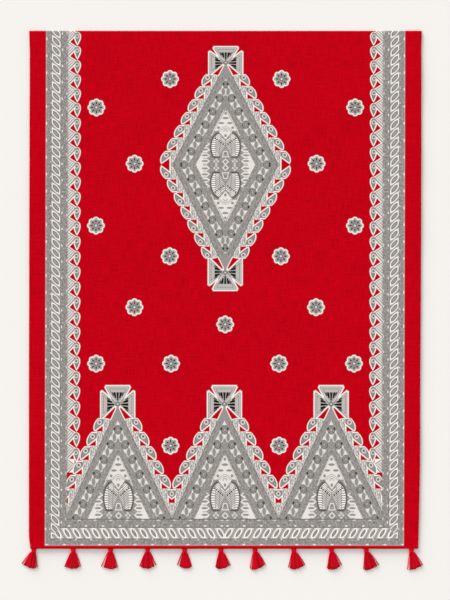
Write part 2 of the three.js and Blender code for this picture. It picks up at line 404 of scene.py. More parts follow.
print("hidden cloth:", triangles(cloth_under), "triangles")

# %% [markdown]
# The end hem
#
# The cloth's end is turned over twice and stitched down by hand with a small running stitch. The
# turned cloth makes a plump narrow roll, pinched a little at each stitch. Its section is a flat
# rounded ring carried from one selvedge to the other.

# %% Hem
STITCH_PITCH = 4.2 * MM
STITCH_LINE = 6.3 * MM
HEM_STEPS = 900
HEM_RING = 18
SQUARE_WIDE = 0.5
SQUARE_HIGH = 0.7
PINCH_HALF = 1.3 * MM
PINCH_DEPTH = 0.30


def hem_surface():
    """Rings set along the hem. Powers of sine and cosine below 1 square a ring off to a rounded box.

    The upper half is pinched at the stitching line by a wave of one stitch's length.
    """
    share = np.linspace(0, 1, HEM_STEPS)[:, None]
    angle = np.linspace(0, 2 * np.pi, HEM_RING, endpoint=False)[None, :]
    wide = np.sign(np.cos(angle)) * np.abs(np.cos(angle)) ** SQUARE_WIDE
    high = np.sign(np.sin(angle)) * np.abs(np.sin(angle)) ** SQUARE_HIGH
    along = HEM_WIDTH / 2 * (1 - wide)
    across = mix(left_edge(along), right_edge(along), share)
    pinch = 0.5 + 0.5 * np.cos(2 * np.pi * (share * CLOTH_WIDTH) / STITCH_PITCH)
    near_line = bell((along - STITCH_LINE) / PINCH_HALF)
    roll = 1 - PINCH_DEPTH * near_line * pinch * (high > 0)
    ends = rim_share(np.minimum(share, 1 - share) * CLOTH_WIDTH)
    middle = WALL + SEAM_GAP + lift(across, along) + HEM_THICK / 2
    return on_row(across, along, middle + HEM_THICK / 2 * high * roll * ends), across, along


hem_points, hem_across, hem_along = hem_surface()
hem_faces = grid_faces(HEM_STEPS, HEM_RING, wrap=True)
end_hem = new_piece("end_hem_roll", hem_points, hem_faces)
set_map(end_hem, "cloth", hem_across, HALF_LENGTH - hem_along)
print("hem:", triangles(end_hem), "triangles")

# %% Hem stitches
STITCH_LENGTH = 2.3 * MM
STITCH_RADIUS = 0.28 * MM
STITCH_STEPS = 7
STITCH_SIDES = 6
STITCH_TOP = 0.93
STITCH_DIP = 0.35
STITCH_TAPER = 1.15
STITCH_THIN = 0.15
STITCH_TINT = 0.3
TINY = 1e-9


def tubes(paths, radii, sides, turn=0.0):
    """Closed tubes round many paths at once: paths is tube, step, xyz and radii is tube, step.

    Each ring stands square to the path, turned by the same rule for all, and the first and last
    rings are drawn in to close the ends.
    """
    count, steps, _ = paths.shape
    ahead = np.gradient(paths, axis=1)
    ahead = ahead / np.linalg.norm(ahead, axis=2, keepdims=True)
    side = np.cross(ahead, (0.0, 0.0, 1.0))
    side = side / np.maximum(np.linalg.norm(side, axis=2, keepdims=True), TINY)
    over = np.cross(side, ahead)
    angle = (np.arange(sides) / sides * 2 * np.pi + turn)[None, None, :, None]
    ring = np.cos(angle) * side[:, :, None] + np.sin(angle) * over[:, :, None]
    points = paths[:, :, None] + ring * radii[:, :, None, None]
    walls = grid_faces(steps, sides, wrap=True)[:, ::-1]
    first = np.arange(sides)
    last = (steps - 1) * sides + np.arange(sides)[::-1]
    one = [tuple(face) for face in walls] + [tuple(first), tuple(last)]
    stride = steps * sides
    faces = [tuple(i + tube * stride for i in face) for tube in range(count) for face in one]
    return points.reshape(-1, 3), faces


def hem_stitches():
    """Short arcs along the stitching line. Each dips and thins by a fourth power towards its ends."""
    count = int(CLOTH_WIDTH / STITCH_PITCH) - 2
    start = -CLOTH_WIDTH / 2 + STITCH_PITCH * 1.5
    middle = start + STITCH_PITCH * np.arange(count)[:, None]
    s = np.linspace(-1, 1, STITCH_STEPS)[None, :]
    across = middle + s * STITCH_LENGTH / 2
    hump = HEM_THICK * (STITCH_TOP - STITCH_DIP * s ** 4)
    up = WALL + SEAM_GAP + lift(across, STITCH_LINE) + hump
    radii = STITCH_RADIUS * np.sqrt(np.clip(STITCH_TAPER - s ** 4, STITCH_THIN, 1)) + 0 * across
    return tubes(on_row(across, STITCH_LINE, up), radii, STITCH_SIDES)


stitches = new_piece("hem_stitches", *hem_stitches())
print("stitches:", triangles(stitches), "triangles")

# %% [markdown]
# Tassels
#
# A bunch of cotton threads is looped through the hem, tied below it with a few turns of the same
# thread, and cut to length. The skirt fans out on the floor: the threads lie over each other near
# the neck and spread and drop towards their ends, in loose locks. The table holds each tassel's
# place, where the left edge, middle and right edge of its skirt end, and how wide a share of the
# cut edge parts the stray lock on each side from the rest.

# %% Tassel sizes
TASSEL_WORDS = [
    "at", "left", "left_drop", "mid", "mid_drop", "right", "right_drop", "left_gap", "right_gap"
]
TASSEL_SIZES = [
    (-464.9, -29.0, 36.5, -8.3, 47.1, 8.5, 45.7, 0.05, 0.04),
    (-368.9, -21.0, 44.0, -1.2, 49.3, 18.2, 42.5, 0.01, 0.02),
    (-278.2, -22.6, 42.2, -1.7, 50.1, 17.0, 45.2, 0.1, 0.02),
    (-188.3, -19.2, 42.0, -1.0, 48.6, 20.4, 40.8, 0.01, 0.03),
    (-97.9, -18.2, 39.1, 0.7, 47.9, 16.8, 44.5, 0.12, 0.0),
    (-9.7, -13.4, 45.7, 1.0, 49.1, 22.8, 40.6, 0.01, 0.03),
    (73.1, -12.4, 47.6, 2.4, 51.0, 25.4, 37.8, 0.04, 0.02),
    (167.4, -12.9, 46.2, 5.1, 50.3, 27.2, 39.4, 0.02, 0.02),
    (259.0, -10.6, 47.8, 4.1, 51.3, 24.6, 40.8, 0.02, 0.04),
    (343.4, -6.4, 51.2, 7.0, 51.4, 31.0, 39.4, 0.03, 0.06),
    (453.2, -9.8, 49.6, 2.8, 51.4, 28.2, 40.4, 0.1, 0.04),
]
TASSELS = [dict(zip(TASSEL_WORDS, sizes)) for sizes in TASSEL_SIZES]

HEAD_DROP = np.array([-1.2, 0, 3.0, 5.8, 8.4, 12]) * MM
HEAD_HALF = np.array([5.2, 6.2, 5.8, 4.7, 4.6, 5.4]) * MM
HEAD_LOW = np.array([1.9, 1.3, 0.8, 0.5, 0.5, 0.4]) * MM
HEAD_HIGH = np.array([4.5, 5.1, 5.9, 6.1, 6.1, 5.8]) * MM
HEAD_RINGS = 26
HEAD_TURNS = 72
HEAD_CLOSE = 0.2
HEAD_TINT = 0.15
FLUTES = 9
FLUTE_TWIST = 240
FLUTE_DEPTH = 0.07
FLUTE_INSET = 0.05

BINDING_TURNS = 5
BINDING_STEPS = 150
BINDING_SIDES = 6
BINDING_DROP = (4.8, 7.6)
BINDING_WAVER = 0.12 * MM
BINDING_OUT = 0.25 * MM
BINDING_OVER = 0.1 * MM
BINDING_RADIUS = 0.42 * MM
BINDING_TAPER = (0.1, 8.0)
BINDING_TINT = 0.4

THREADS = 380
THREAD_STEPS = 8
THREAD_SIDES = 4
THREAD_RADIUS = 0.6 * MM
THREAD_FLARE = 0.18
THREAD_BEND = 0.78
THREAD_FALL = 1.5
THREAD_WAVER = 0.7 * MM
WAVER_TURNS = (0.8, 2.2)
LOCKS = 10
LOCK_LOOSE = 0.3
LOCK_PULL = 0.45
LOCK_DROP = (-1.3, 0.5)
LOCK_RISE = 0.5
LOCK_TINT = 0.6
END_SCATTER = 0.6
STRAY_SHARE = 0.6
ROOT_DROP = 5.4 * MM
ROOT_HALF = 4.0 * MM
ROOT_NARROW = 0.55
ROOT_UP = (1.1, 5.5)
TIP_UP = (0.45, 2.6)
CUT_STEPS = 101
SKIRT_SEED = 100
BINDING_SEED = 200


def through(a, b, c, t):
    """A parabola through three values, at t of 0, a half and 1."""
    return a * (1 - t) * (1 - 2 * t) + b * 4 * t * (1 - t) + c * t * (2 * t - 1)


# %% Tassel heads


def head_surface(tassel):
    """A body through oval rings, fluted by the threads that run down it, closed at both ends."""
    drop = np.linspace(HEAD_DROP[0], HEAD_DROP[-1], HEAD_RINGS)[:, None]
    angle = np.linspace(0, 2 * np.pi, HEAD_TURNS, endpoint=False)[None, :]
    half = np.interp(drop, HEAD_DROP, HEAD_HALF)
    low = np.interp(drop, HEAD_DROP, HEAD_LOW)
    high = np.interp(drop, HEAD_DROP, HEAD_HIGH)
    flute = 1 + FLUTE_DEPTH * np.abs(np.sin(angle * FLUTES + drop * FLUTE_TWIST)) - FLUTE_INSET
    close = np.where((drop == drop[0]) | (drop == drop[-1]), HEAD_CLOSE, 1.0)
    across = tassel["at"] * MM + half * np.cos(angle) * flute * close
    up = (low + high) / 2 + (high - low) / 2 * np.sin(angle) * flute * close
    points = on_row(across, -SEAM_GAP - drop + 0 * angle, up)
    faces = [tuple(face) for face in grid_faces(HEAD_RINGS, HEAD_TURNS, wrap=True)]
    faces.append(tuple(range(HEAD_TURNS)[::-1]))
    faces.append(tuple((HEAD_RINGS - 1) * HEAD_TURNS + i for i in range(HEAD_TURNS)))
    return points.reshape(-1, 3), faces


def binding_surface(tassel, seed):
    """Turns of thread round the neck: one coil, a little uneven, with tapered ends."""
    rng = np.random.default_rng(seed)
    s = np.linspace(0, 1, BINDING_STEPS)
    angle = 2 * np.pi * BINDING_TURNS * s
    drop = mix(*BINDING_DROP, s) * MM + BINDING_WAVER * np.sin(angle + rng.uniform(0, 6))
    half = np.interp(drop, HEAD_DROP, HEAD_HALF) + BINDING_OUT
    low = np.interp(drop, HEAD_DROP, HEAD_LOW)
    high = np.interp(drop, HEAD_DROP, HEAD_HIGH)
    across = tassel["at"] * MM + half * np.cos(angle)
    up = (low + high) / 2 + ((high - low) / 2 + BINDING_OVER) * np.sin(angle)
    path = on_row(across, -SEAM_GAP - drop, up)[None]
    radii = np.minimum(BINDING_RADIUS, mix(*BINDING_TAPER, np.minimum(s, 1 - s) * 2) * MM)[None]
    return tubes(path, radii, BINDING_SIDES)


# %% Tassel threads


def thread_paths(tassel, seed):
    """The middle lines of a skirt's threads, and a tint for each.

    A thread leaves the neck at its own place in the bunch and bends out to its own place on the cut
    edge, which is a parabola through the table's three ends. The ends are spaced evenly from left
    to right. Neighbours are drawn together into locks towards their ends, the outermost lock on
    each side is narrow and stands a gap apart from the body, and each thread wavers on its way.
    """
    rng = np.random.default_rng(seed)
    seat = (np.arange(THREADS) + rng.uniform(0, 1, THREADS)) / THREADS
    rank = rng.uniform(0, 1, THREADS)
    lock = np.round(seat * LOCKS + rng.uniform(-LOCK_LOOSE, LOCK_LOOSE, THREADS))
    lock = lock.astype(int).clip(0, LOCKS)
    centre = (lock + rng.uniform(-LOCK_LOOSE, LOCK_LOOSE, LOCKS + 1)[lock]) / LOCKS
    even = mix(seat, centre, LOCK_PULL).clip(0, 1)
    body = mix(tassel["left_gap"], 1 - tassel["right_gap"], even)
    right_stray = np.where(lock == LOCKS, 1 - STRAY_SHARE * (1 - even), body)
    even = np.where(lock == 0, STRAY_SHARE * even, right_stray)
    along_cut = np.linspace(0, 1, CUT_STEPS)
    cut_across = through(tassel["left"], tassel["mid"], tassel["right"], along_cut)
    tip_across = mix(tassel["left"], tassel["right"], even)
    on_cut = np.interp(tip_across, cut_across, along_cut)
    tip_across = tip_across * MM
    tip_drop = through(tassel["left_drop"], tassel["mid_drop"], tassel["right_drop"], on_cut) * MM
    lock_drop = rng.uniform(*LOCK_DROP, LOCKS + 1)[lock] * MM
    tip_drop = tip_drop + lock_drop - np.abs(rng.normal(0, END_SCATTER, THREADS)) * MM
    spread = np.sqrt(1 - (2 * rank - 1) ** 2)
    root_across = (2 * seat - 1) * ROOT_HALF * mix(ROOT_NARROW, 1.0, spread)
    s = np.linspace(0, 1, THREAD_STEPS)[None, :]
    waver = rng.uniform(-1, 1, (THREADS, 1))
    waver = waver * np.sin(np.pi * s * rng.uniform(*WAVER_TURNS, (THREADS, 1)))
    across = mix(root_across[:, None], tip_across[:, None], s ** THREAD_BEND) + waver * THREAD_WAVER * s
    drop = mix(ROOT_DROP, tip_drop[:, None], s)
    lock_rank = rng.uniform(0, 1, LOCKS + 1)[lock]
    root_up = mix(*ROOT_UP, rank[:, None]) * MM
    tip_up = mix(*TIP_UP, mix(rank, lock_rank, LOCK_RISE)[:, None]) * MM
    fall = 1 - (1 - s) ** THREAD_FALL
    up = mix(root_up, tip_up, fall)
    tint = mix(rng.uniform(0, 1, THREADS), rng.uniform(0, 1, LOCKS + 1)[lock], LOCK_TINT)
    return on_row(tassel["at"] * MM + across, -SEAM_GAP - drop, up), tint


def skirt_surface(tassel, seed):
    """Thin tubes round the threads, a little thicker where the cut ends open."""
    paths, tint = thread_paths(tassel, seed)
    s = np.linspace(0, 1, THREAD_STEPS)[None, :]
    radii = THREAD_RADIUS * (1 + THREAD_FLARE * s ** 6) + 0 * paths[..., 0]
    points, faces = tubes(paths, radii, THREAD_SIDES, turn=math.radians(45))
    return points, faces, np.repeat(tint, THREAD_STEPS * THREAD_SIDES)


def set_tint(piece, tint):
    """Stores one number for each point, which the thread's colour reads."""
    layer = piece.data.attributes.new("tint", "FLOAT", "POINT")
    layer.data.foreach_set("value", np.asarray(tint, np.float32))


tassel_pieces = []
for number, tassel in enumerate(TASSELS, start=1):
    skirt_points, skirt_faces, skirt_tint = skirt_surface(tassel, SKIRT_SEED + number)
    skirt = new_piece("tassel_skirt_%02d" % number, skirt_points, skirt_faces)
    set_tint(skirt, skirt_tint)
    head_points, head_faces = head_surface(tassel)
    wrap_points, wrap_faces = binding_surface(tassel, BINDING_SEED + number)
    moved = [tuple(i + len(head_points) for i in face) for face in wrap_faces]
    both_points = np.concatenate([head_points, wrap_points])
    head = new_piece("tassel_head_%02d" % number, both_points, head_faces + moved)
    tints = [np.full(len(head_points), HEAD_TINT), np.full(len(wrap_points), BINDING_TINT)]
    set_tint(head, np.concatenate(tints))
    tassel_pieces.append((number, head, skirt))
print("one skirt:", triangles(skirt), "triangles, one head:", triangles(head))

# %% [markdown]
# Sums in the shader
#
# The print is drawn with sums, one Math node for each. Writing hundreds of nodes by hand would be
# unreadable, so a small class lets the sums be written as sums: adding two amounts puts an Add node
# into the tree that is being drawn. Each motif is a node group of its own, drawn once and placed
# where it is needed.

# %% Amounts that are sockets
drawing = []


class Amount:
    """A number that changes over the cloth, held by a node's socket."""

    def __init__(self, socket):
        self.socket = socket

    def __add__(self, other):
        return work("ADD", self, other)

    def __radd__(self, other):
        return work("ADD", other, self)

    def __sub__(self, other):
        return work("SUBTRACT", self, other)

    def __rsub__(self, other):
        return work("SUBTRACT", other, self)

    def __mul__(self, other):
        return work("MULTIPLY", self, other)

    def __rmul__(self, other):
        return work("MULTIPLY", other, self)


def connect(value, socket):
    """Joins an amount to a socket, or writes a plain number into it."""
    if isinstance(value, Amount):
        drawing[-1].links.new(value.socket, socket)
    else:
        socket.default_value = float(value)


def work(operation, *values, clamp=False):
    """One Math node in the tree that is being drawn."""
    node = drawing[-1].nodes.new("ShaderNodeMath")
    node.operation = operation
    node.use_clamp = clamp
    for value, socket in zip(values, node.inputs):
        connect(value, socket)
    return Amount(node.outputs[0])


def least(a, b):
    """The lesser of two amounts."""
    return work("MINIMUM", a, b)


def most(a, b):
    """The greater of two amounts."""
    return work("MAXIMUM", a, b)


def size(a):
    """An amount without its sign, which folds a plane about its zero line."""
    return work("ABSOLUTE", a)


def part(a):
    """What is left of an amount over the whole number below it."""
    return work("FRACT", a)


def whole(a):
    """The whole number below an amount."""
    return work("FLOOR", a)


def distance(x, y):
    """How far a place is from the middle, by Pythagoras."""
    return work("SQRT", x * x + y * y)


def wave(turns):
    """A sine wave that rises and falls once in each whole number."""
    return work("SINE", turns * (2 * math.pi))


def above(a, b):
    """1 where a is over b, and 0 elsewhere."""
    return work("GREATER_THAN", a, b)


def cover(a, soft=0.7):
    """1 where a is positive and 0 where it is negative, with a soft step as wide as stated."""
    return work("MULTIPLY_ADD", a, 1 / soft, 0.5, clamp=True)


def lay(under, over, cov):
    """One value laid over another, as far as it covers it."""
    return work("MULTIPLY_ADD", over - under, cov, under)


def band(a, middle, half, soft=0.7):
    """1 in a band round a middle value."""
    return work("MULTIPLY_ADD", size(a - middle), -1 / soft, half / soft + 0.5, clamp=True)


def oval(a, b, middle_a, middle_b, half_a, half_b, soft=0.5):
    """1 inside an oval spot."""
    x = work("MULTIPLY_ADD", a, 1 / half_a, -middle_a / half_a)
    y = work("MULTIPLY_ADD", b, 1 / half_b, -middle_b / half_b)
    return work("MULTIPLY_ADD", work("MULTIPLY_ADD", x, x, y * y), -1 / soft, 1 / soft + 0.5, clamp=True)


def lay_spots(tone, a, b, spots, soft=0.5):
    """Lays the oval spots of a table over a tone, each with its own tone, middle and half sizes."""
    for spot in spots:
        tone = lay(tone, spot["tone"], oval(a, b, *spot["at"], *spot["half"], soft))
    return tone


def eye(middle, rings):
    """The spots of a ringed eye: round ones on one middle, from the largest to the smallest."""
    return [{"tone": tone, "at": middle, "half": (half, half)} for tone, half in rings]


def all_spots(a, b, spots):
    """1 inside any oval spot of a table."""
    inside = 0.0
    for spot in spots:
        inside = most(inside, oval(a, b, *spot["at"], *spot["half"]))
    return inside


def noise_on(vector, scale, detail):
    """Smooth noise over a vector, from 0 to 1."""
    tree = drawing[-1]
    noise = tree.nodes.new("ShaderNodeTexNoise")
    set_inputs(noise, {"Scale": scale, "Detail": detail})
    tree.links.new(vector, noise.inputs["Vector"])
    return Amount(noise.outputs["Fac"])


def motif(name, inputs, outputs, draw):
    """A node group with numbers in and out, whose inside is drawn by a function of those numbers."""
    tree = bpy.data.node_groups.new(name, "ShaderNodeTree")
    for word in inputs:
        tree.interface.new_socket(word, in_out="INPUT", socket_type="NodeSocketFloat")
    for word in outputs:
        tree.interface.new_socket(word, in_out="OUTPUT", socket_type="NodeSocketFloat")
    drawing.append(tree)
    entry = tree.nodes.new("NodeGroupInput")
    results = draw(*[Amount(entry.outputs[word]) for word in inputs])
    leave = tree.nodes.new("NodeGroupOutput")
    for result, word in zip(results if isinstance(results, tuple) else (results,), outputs):
        connect(result, leave.inputs[word])
    drawing.pop()
    print(name, len(tree.nodes), "nodes")
    return tree


def place(tree, *values):
    """Puts a motif into the tree that is being drawn, and gives its results."""
    node = drawing[-1].nodes.new("ShaderNodeGroup")
    node.node_tree = tree
    for value, socket in zip(values, node.inputs):
        connect(value, socket)
    results = tuple(Amount(socket) for socket in node.outputs)
    return results if len(results) > 1 else results[0]


# %% [markdown]
# The print's chart
#
# A printer's chart counts in lines of 2.43 mm: columns from the middle of the cloth, and rows down
# the cloth. Its row 30.7 lies on the fold, because the pattern runs on over it. Tones go from black
# to white ink, in the greys that a screen print lays on red cloth.

# %% Tones of the inks
LINE_WHITE = 1.0
WHITE = 0.92
PALE = 0.84
LIGHT = 0.72
GREY = 0.60
DEEP = 0.50
DARK = 0.36
BLACK = 0.08

# %% [markdown]
# Border band
#
# The border has a plain grey band on each side of a cable of slanting almonds, with rows of small
# white beads. The same band turns the corner with a mitre and runs along the foot of the cloth.

# %% Border band
GRAIN_SCALE = 0.55
GRAIN_DETAIL = 1.5
GRAIN_SHARE = 0.5
OUTER_BEADS = [
    {"tone": WHITE, "at": 0.8, "pitch": 16.9, "start": 0.2, "half": (0.7, 1.6)},
    {"tone": WHITE, "at": 5.3, "pitch": 14.7, "start": 0.5, "half": (0.7, 1.1)},
]
INNER_BEADS = [
    {"tone": WHITE, "at": 16.4, "pitch": 16.3, "start": 0.45, "half": (0.65, 1.3)},
    {"tone": PALE, "at": 21.0, "pitch": 15.2, "start": 0.35, "half": (0.55, 1.6)},
]
OUTER_LINE = 0.5
INNER_LINE = 22.1
INNER_LINE_PITCH = 7.5
ALMOND_HALF = 3.95
ALMOND_BEND = 0.12
ALMOND_WALL = 1.3
WEDGE_HALF = 1.3
CABLE_MIDDLE = 10.3
CABLE_HALF = 4.15
CABLE_PITCH = 9.2
CABLE_SLANT = 0.85


def lay_beads(tone, inward, onward, rows):
    """Lays rows of oval beads over a tone. Along its row, each bead is found by the part of a pitch."""
    for row in rows:
        step = (part(onward * (1 / row["pitch"]) + row["start"]) - 0.5) * row["pitch"]
        tone = lay(tone, row["tone"], oval(inward, step, row["at"], 0.0, *row["half"]))
    return tone


def draw_grain(x, y):
    """The uneven cover of the ink on the yarns, from about -0.3 to 0.3, finer than a leaf's outline."""
    tree = drawing[-1]
    joined = tree.nodes.new("ShaderNodeCombineXYZ")
    connect(x, joined.inputs["X"])
    connect(y, joined.inputs["Y"])
    return noise_on(joined.outputs["Vector"], GRAIN_SCALE, GRAIN_DETAIL) - 0.5


GRAIN = motif("grain", ["x", "y"], ["grain"], draw_grain)


def draw_border_band(inward, onward, slimmer):
    """Tones by how far inward from the border's outer edge, and how far onward along it.

    The foot's almonds are slimmer than those at the sides.
    """
    tone = GREY - 0.02 + GRAIN_SHARE * place(GRAIN, inward, onward)
    tone = lay(tone, LIGHT, band(inward, OUTER_LINE, 0.35))
    tone = lay_beads(tone, inward, onward, OUTER_BEADS)
    from_middle = inward - CABLE_MIDDLE
    across_cable = size(from_middle)
    slanted = onward - CABLE_SLANT * from_middle
    cell = size((part(slanted * (1 / CABLE_PITCH)) - 0.5) * CABLE_PITCH)
    inside = ALMOND_HALF - slimmer - ALMOND_BEND * (from_middle * from_middle) - cell
    cable = lay(LIGHT + 0.06, DEEP, band(cell, 4.0, 0.35, 0.4))
    cable = lay(cable, LINE_WHITE, cover(inside))
    hole = least(inside - ALMOND_WALL, CABLE_HALF - 1.0 - across_cable)
    cable = lay(cable, DEEP - 0.02, cover(hole))
    cable = lay(cable, GREY + 0.02, cover(hole - 1.0))
    wedge = band(across_cable, CABLE_HALF - 0.3, 0.25, 0.5) * band(cell, 1.4, WEDGE_HALF, 0.8)
    cable = lay(cable, LINE_WHITE, wedge)
    tone = lay(tone, cable, cover(CABLE_HALF + 0.1 - across_cable))
    speck = 0.45 + 0.55 * cover(wave(onward * (2 / CABLE_PITCH)) + 0.2, 0.6)
    tone = lay(tone, DARK + 0.08, speck * band(across_cable, CABLE_HALF + 0.7, 0.2, 0.6))
    tone = lay_beads(tone, inward, onward, INNER_BEADS)
    dashed = 0.6 + 0.4 * cover(wave(onward * (1 / INNER_LINE_PITCH)) + 0.4)
    return lay(tone, DARK, band(inward, INNER_LINE, 0.35) * dashed)


BORDER_BAND = motif("border_band", ["inward", "onward", "slimmer"], ["tone"], draw_border_band)

# %% [markdown]
# Leaves on the side border
#
# From the band's inner edge grow small leaves, each with a ringed eye, its tip towards the hem. Two
# slanting rails tie each leaf to the band, and between them the red cloth shows as a small window.

# %% Side border leaves
LEAF_PITCH = 15.0
LEAF_IN = 31.45
WINDOW_IN = 24.1
WINDOW_ON = 0.5
RAIL_SLOPE = 0.68
BLADE_START = 10.1
BLADE_LENGTH = 14.5
BLADE_SWELL = 9.35
BAND_EDGE = 23.6
POST_ON = 0.69
POST_IN = 0.724
HATCH_PITCH = 2.1
BORDER_EYE = eye((31.0, -5.5), [(PALE + 0.04, 2.15), (GREY, 1.35), (DARK, 0.6)])


def draw_border_leaf(inward, cell):
    """Ink and tone of one leaf. The cell runs from -10.6 to 4.4 rows from the window's middle.

    The blade's half width is its swell times the square root of t, times 1 less t, where t goes from
    0 at its round foot to 1 at its tip. The post is a slanting line that bounds the window.
    """
    t = least(most((cell + BLADE_START) * (1 / BLADE_LENGTH), 0), 1)
    leaf = BLADE_SWELL * work("SQRT", t) * (1 - t) - size(inward - LEAF_IN)
    rail = cell - WINDOW_ON - RAIL_SLOPE * (inward - WINDOW_IN)
    post = (WINDOW_ON - cell) * POST_ON + (WINDOW_IN - inward) * POST_IN
    below = above(rail, 0.0)
    strip = most(least(rail + LEAF_PITCH, post), rail)
    ink = most(leaf, most(least(strip, LEAF_IN - inward), BAND_EDGE - inward))
    hatch = cover(wave((post - 2.5) * (1 / HATCH_PITCH)) * 0.8 + 0.3 * wave(rail * 0.37) + 0.1, 1.2)
    hatch = hatch * cover(inward - 22.4, 2.0)
    from_rail = rail + (1 - below) * LEAF_PITCH
    tone = lay(GREY + 0.02, PALE + 0.09, hatch)
    tone = lay(tone, GREY, band(from_rail, 1.7, 0.7))
    tone = lay(tone, WHITE, band(from_rail, 2.9, 0.4))
    tone = lay(tone, GREY, band(post, 1.8, 0.7) * (1 - below))
    tone = lay(tone, WHITE, band(post, 3.0, 0.4) * (1 - below))
    tone = lay(tone, GREY - 0.12 * t, cover(leaf))
    tone = lay(tone, DEEP, band(leaf, 1.5, 0.3))
    tone = lay_spots(tone, inward, cell, BORDER_EYE)
    tone = lay(tone, LINE_WHITE, cover(1.15 - ink))
    tone = lay(tone, LINE_WHITE, band(leaf, 0.6, 0.5) * above(cell, -2.8))
    return cover(ink), tone


BORDER_LEAF = motif("border_leaf", ["inward", "cell"], ["ink", "tone"], draw_border_leaf)

# %% [markdown]
# Leaves on the medallion and the temples
#
# The slanting sides carry larger leaves. Each has a curved outer side, a flat end, and a red window
# between its straight side and its neighbour's end. Leaf, band and field are one figure, drawn on
# one half and mirrored.

# %% Figure leaves
FIGURE_LEAF_PITCH = 12.93
FIGURE_LEAF_END = 12.4
FIGURE_BAND_EDGE = 8.65
OUTER_SWELL = 0.43
OUTER_BEND = 0.0645
BLADE_IN = 8.9
ARC_PITCH = 2.1
EYE_IN = 5.5
EYE_ON = 8.2
FIGURE_EYE = eye((EYE_IN, EYE_ON), [(WHITE, 2.3), (GREY, 1.45), (DARK, 0.65)])


def draw_figure_leaf(inward, onward):
    """Ink depth and tone by how far inward and onward from the leaf's tip.

    The outer side is a parabola, the straight side a slanted line, and broken arcs ring the eye.
    """
    outer = inward + OUTER_SWELL * onward - OUTER_BEND * (onward * onward)
    straight = (onward - 0.7 * inward + 1.2) * 0.82
    leaf = least(least(outer, straight), FIGURE_LEAF_END - onward)
    ink = most(leaf, inward - FIGURE_BAND_EDGE)
    from_eye = distance(inward - EYE_IN, onward - EYE_ON)
    broken = wave(inward * 0.21 + onward * 0.1) * wave(onward * 0.23 - inward * 0.08)
    arcs = wave(from_eye * (1 / ARC_PITCH) + 0.3 * broken)
    tone = lay(GREY - 0.01, PALE + 0.04, cover(0.9 * arcs + 0.4 * broken + 0.1, 1.5))
    blade = least(BLADE_IN - inward + 0.25 * (onward - 6), leaf)
    tone = lay(tone, GREY - 0.02, cover(blade))
    tone = lay(tone, DEEP - 0.04, band(blade, 1.5, 0.35))
    tone = lay_spots(tone, inward, onward, FIGURE_EYE)
    return ink, lay(tone, LINE_WHITE, cover(1.2 - ink))


FIGURE_LEAF = motif("figure_leaf", ["inward", "onward"], ["depth", "tone"], draw_figure_leaf)

# %% [markdown]
# The chain
#
# Inside the leaves runs a grey band with a chain of small dark rosettes. A white point stands above
# and below each rosette, almonds fill the spaces between, and short dashes slant along both edges.

# %% Chain
CHAIN_STEP = 7.05
CHAIN_PITCH = 13.3
CHAIN_EDGE = 0.5
CHAIN_LINES = (3.8, 20.4)
DISC_FAR = 3.9
DISC_RING = 2.3
DISC_EYE = 0.8
SPIKE_NEAR = 4.3
SPIKE_FAR = 8.3
DASH_SLANT = 0.55
ALMOND_SPOTS = [
    {"tone": PALE, "at": (0, 0), "half": (2.9, 4.9)},
    {"tone": GREY - 0.02, "at": (0, 0), "half": (1.7, 3.7)},
]
SEED_SPOTS = [{"tone": WHITE, "at": (0.6, 4.7), "half": (0.7, 1.5)}]
PETAL_SPOTS = [
    {"tone": DARK - 0.08, "at": (3.1, 1.0), "half": (1.0, 1.3)},
    {"tone": DARK + 0.04, "at": (-3.2, -0.6), "half": (0.8, 1.1)},
]
PAIRED_SPOTS = [{"tone": DARK + 0.06, "at": (2.3, -2.5), "half": (0.7, 0.7)}]
DASHES = [
    {"at": (10.2, -1.5), "half": (0.75, 2.1)},
    {"at": (-9.0, 2.0), "half": (0.75, 1.9)},
    {"at": (-7.2, 2.6), "half": (0.65, 1.6)},
    {"at": (8.2, -4.6), "half": (0.6, 1.4)},
]


def draw_chain(aside, onward, gap_aside, gap_onward, inward):
    """Tones from the nearest rosette's middle, the nearest gap's middle, and the depth in the band."""
    tone = GREY - 0.01 + GRAIN_SHARE * place(GRAIN, aside, onward)
    tone = lay(tone, DEEP - 0.05, band(inward, CHAIN_EDGE, 0.3))
    for line in CHAIN_LINES:
        tone = lay(tone, DEEP + 0.05, band(inward, line, 0.25, 0.5))
    tone = lay_spots(tone, gap_aside, gap_onward, ALMOND_SPOTS, 0.55)
    tone = lay_spots(tone, gap_aside, gap_onward, SEED_SPOTS)
    far = distance(aside, onward)
    tone = lay(tone, DEEP + 0.02, cover(DISC_FAR - far, 1.0))
    tone = lay(tone, GREY, band(far, DISC_RING, 0.4))
    tone = lay_spots(tone, aside, onward, PETAL_SPOTS, 0.7)
    tone = lay_spots(tone, size(aside), onward, PAIRED_SPOTS, 0.7)
    tone = lay(tone, LIGHT + 0.03, cover(DISC_EYE - far))
    spike = least(size(onward) - SPIKE_NEAR, (SPIKE_FAR - size(onward)) * 0.52 - size(aside))
    tone = lay(tone, WHITE, cover(spike))
    return lay(tone, WHITE, all_spots(aside + DASH_SLANT * onward, onward, DASHES))


CHAIN = motif(
    "chain", ["aside", "onward", "gap_aside", "gap_onward", "inward"], ["tone"], draw_chain
)

# %% [markdown]
# The inner field
#
# The middle of each figure is a generic design in the same greys: a white point with small spots, a
# pair of ribbed arches with a little house between them, a gem on the middle line with a small flower
# on each side of it, and a row of white petals along each side.

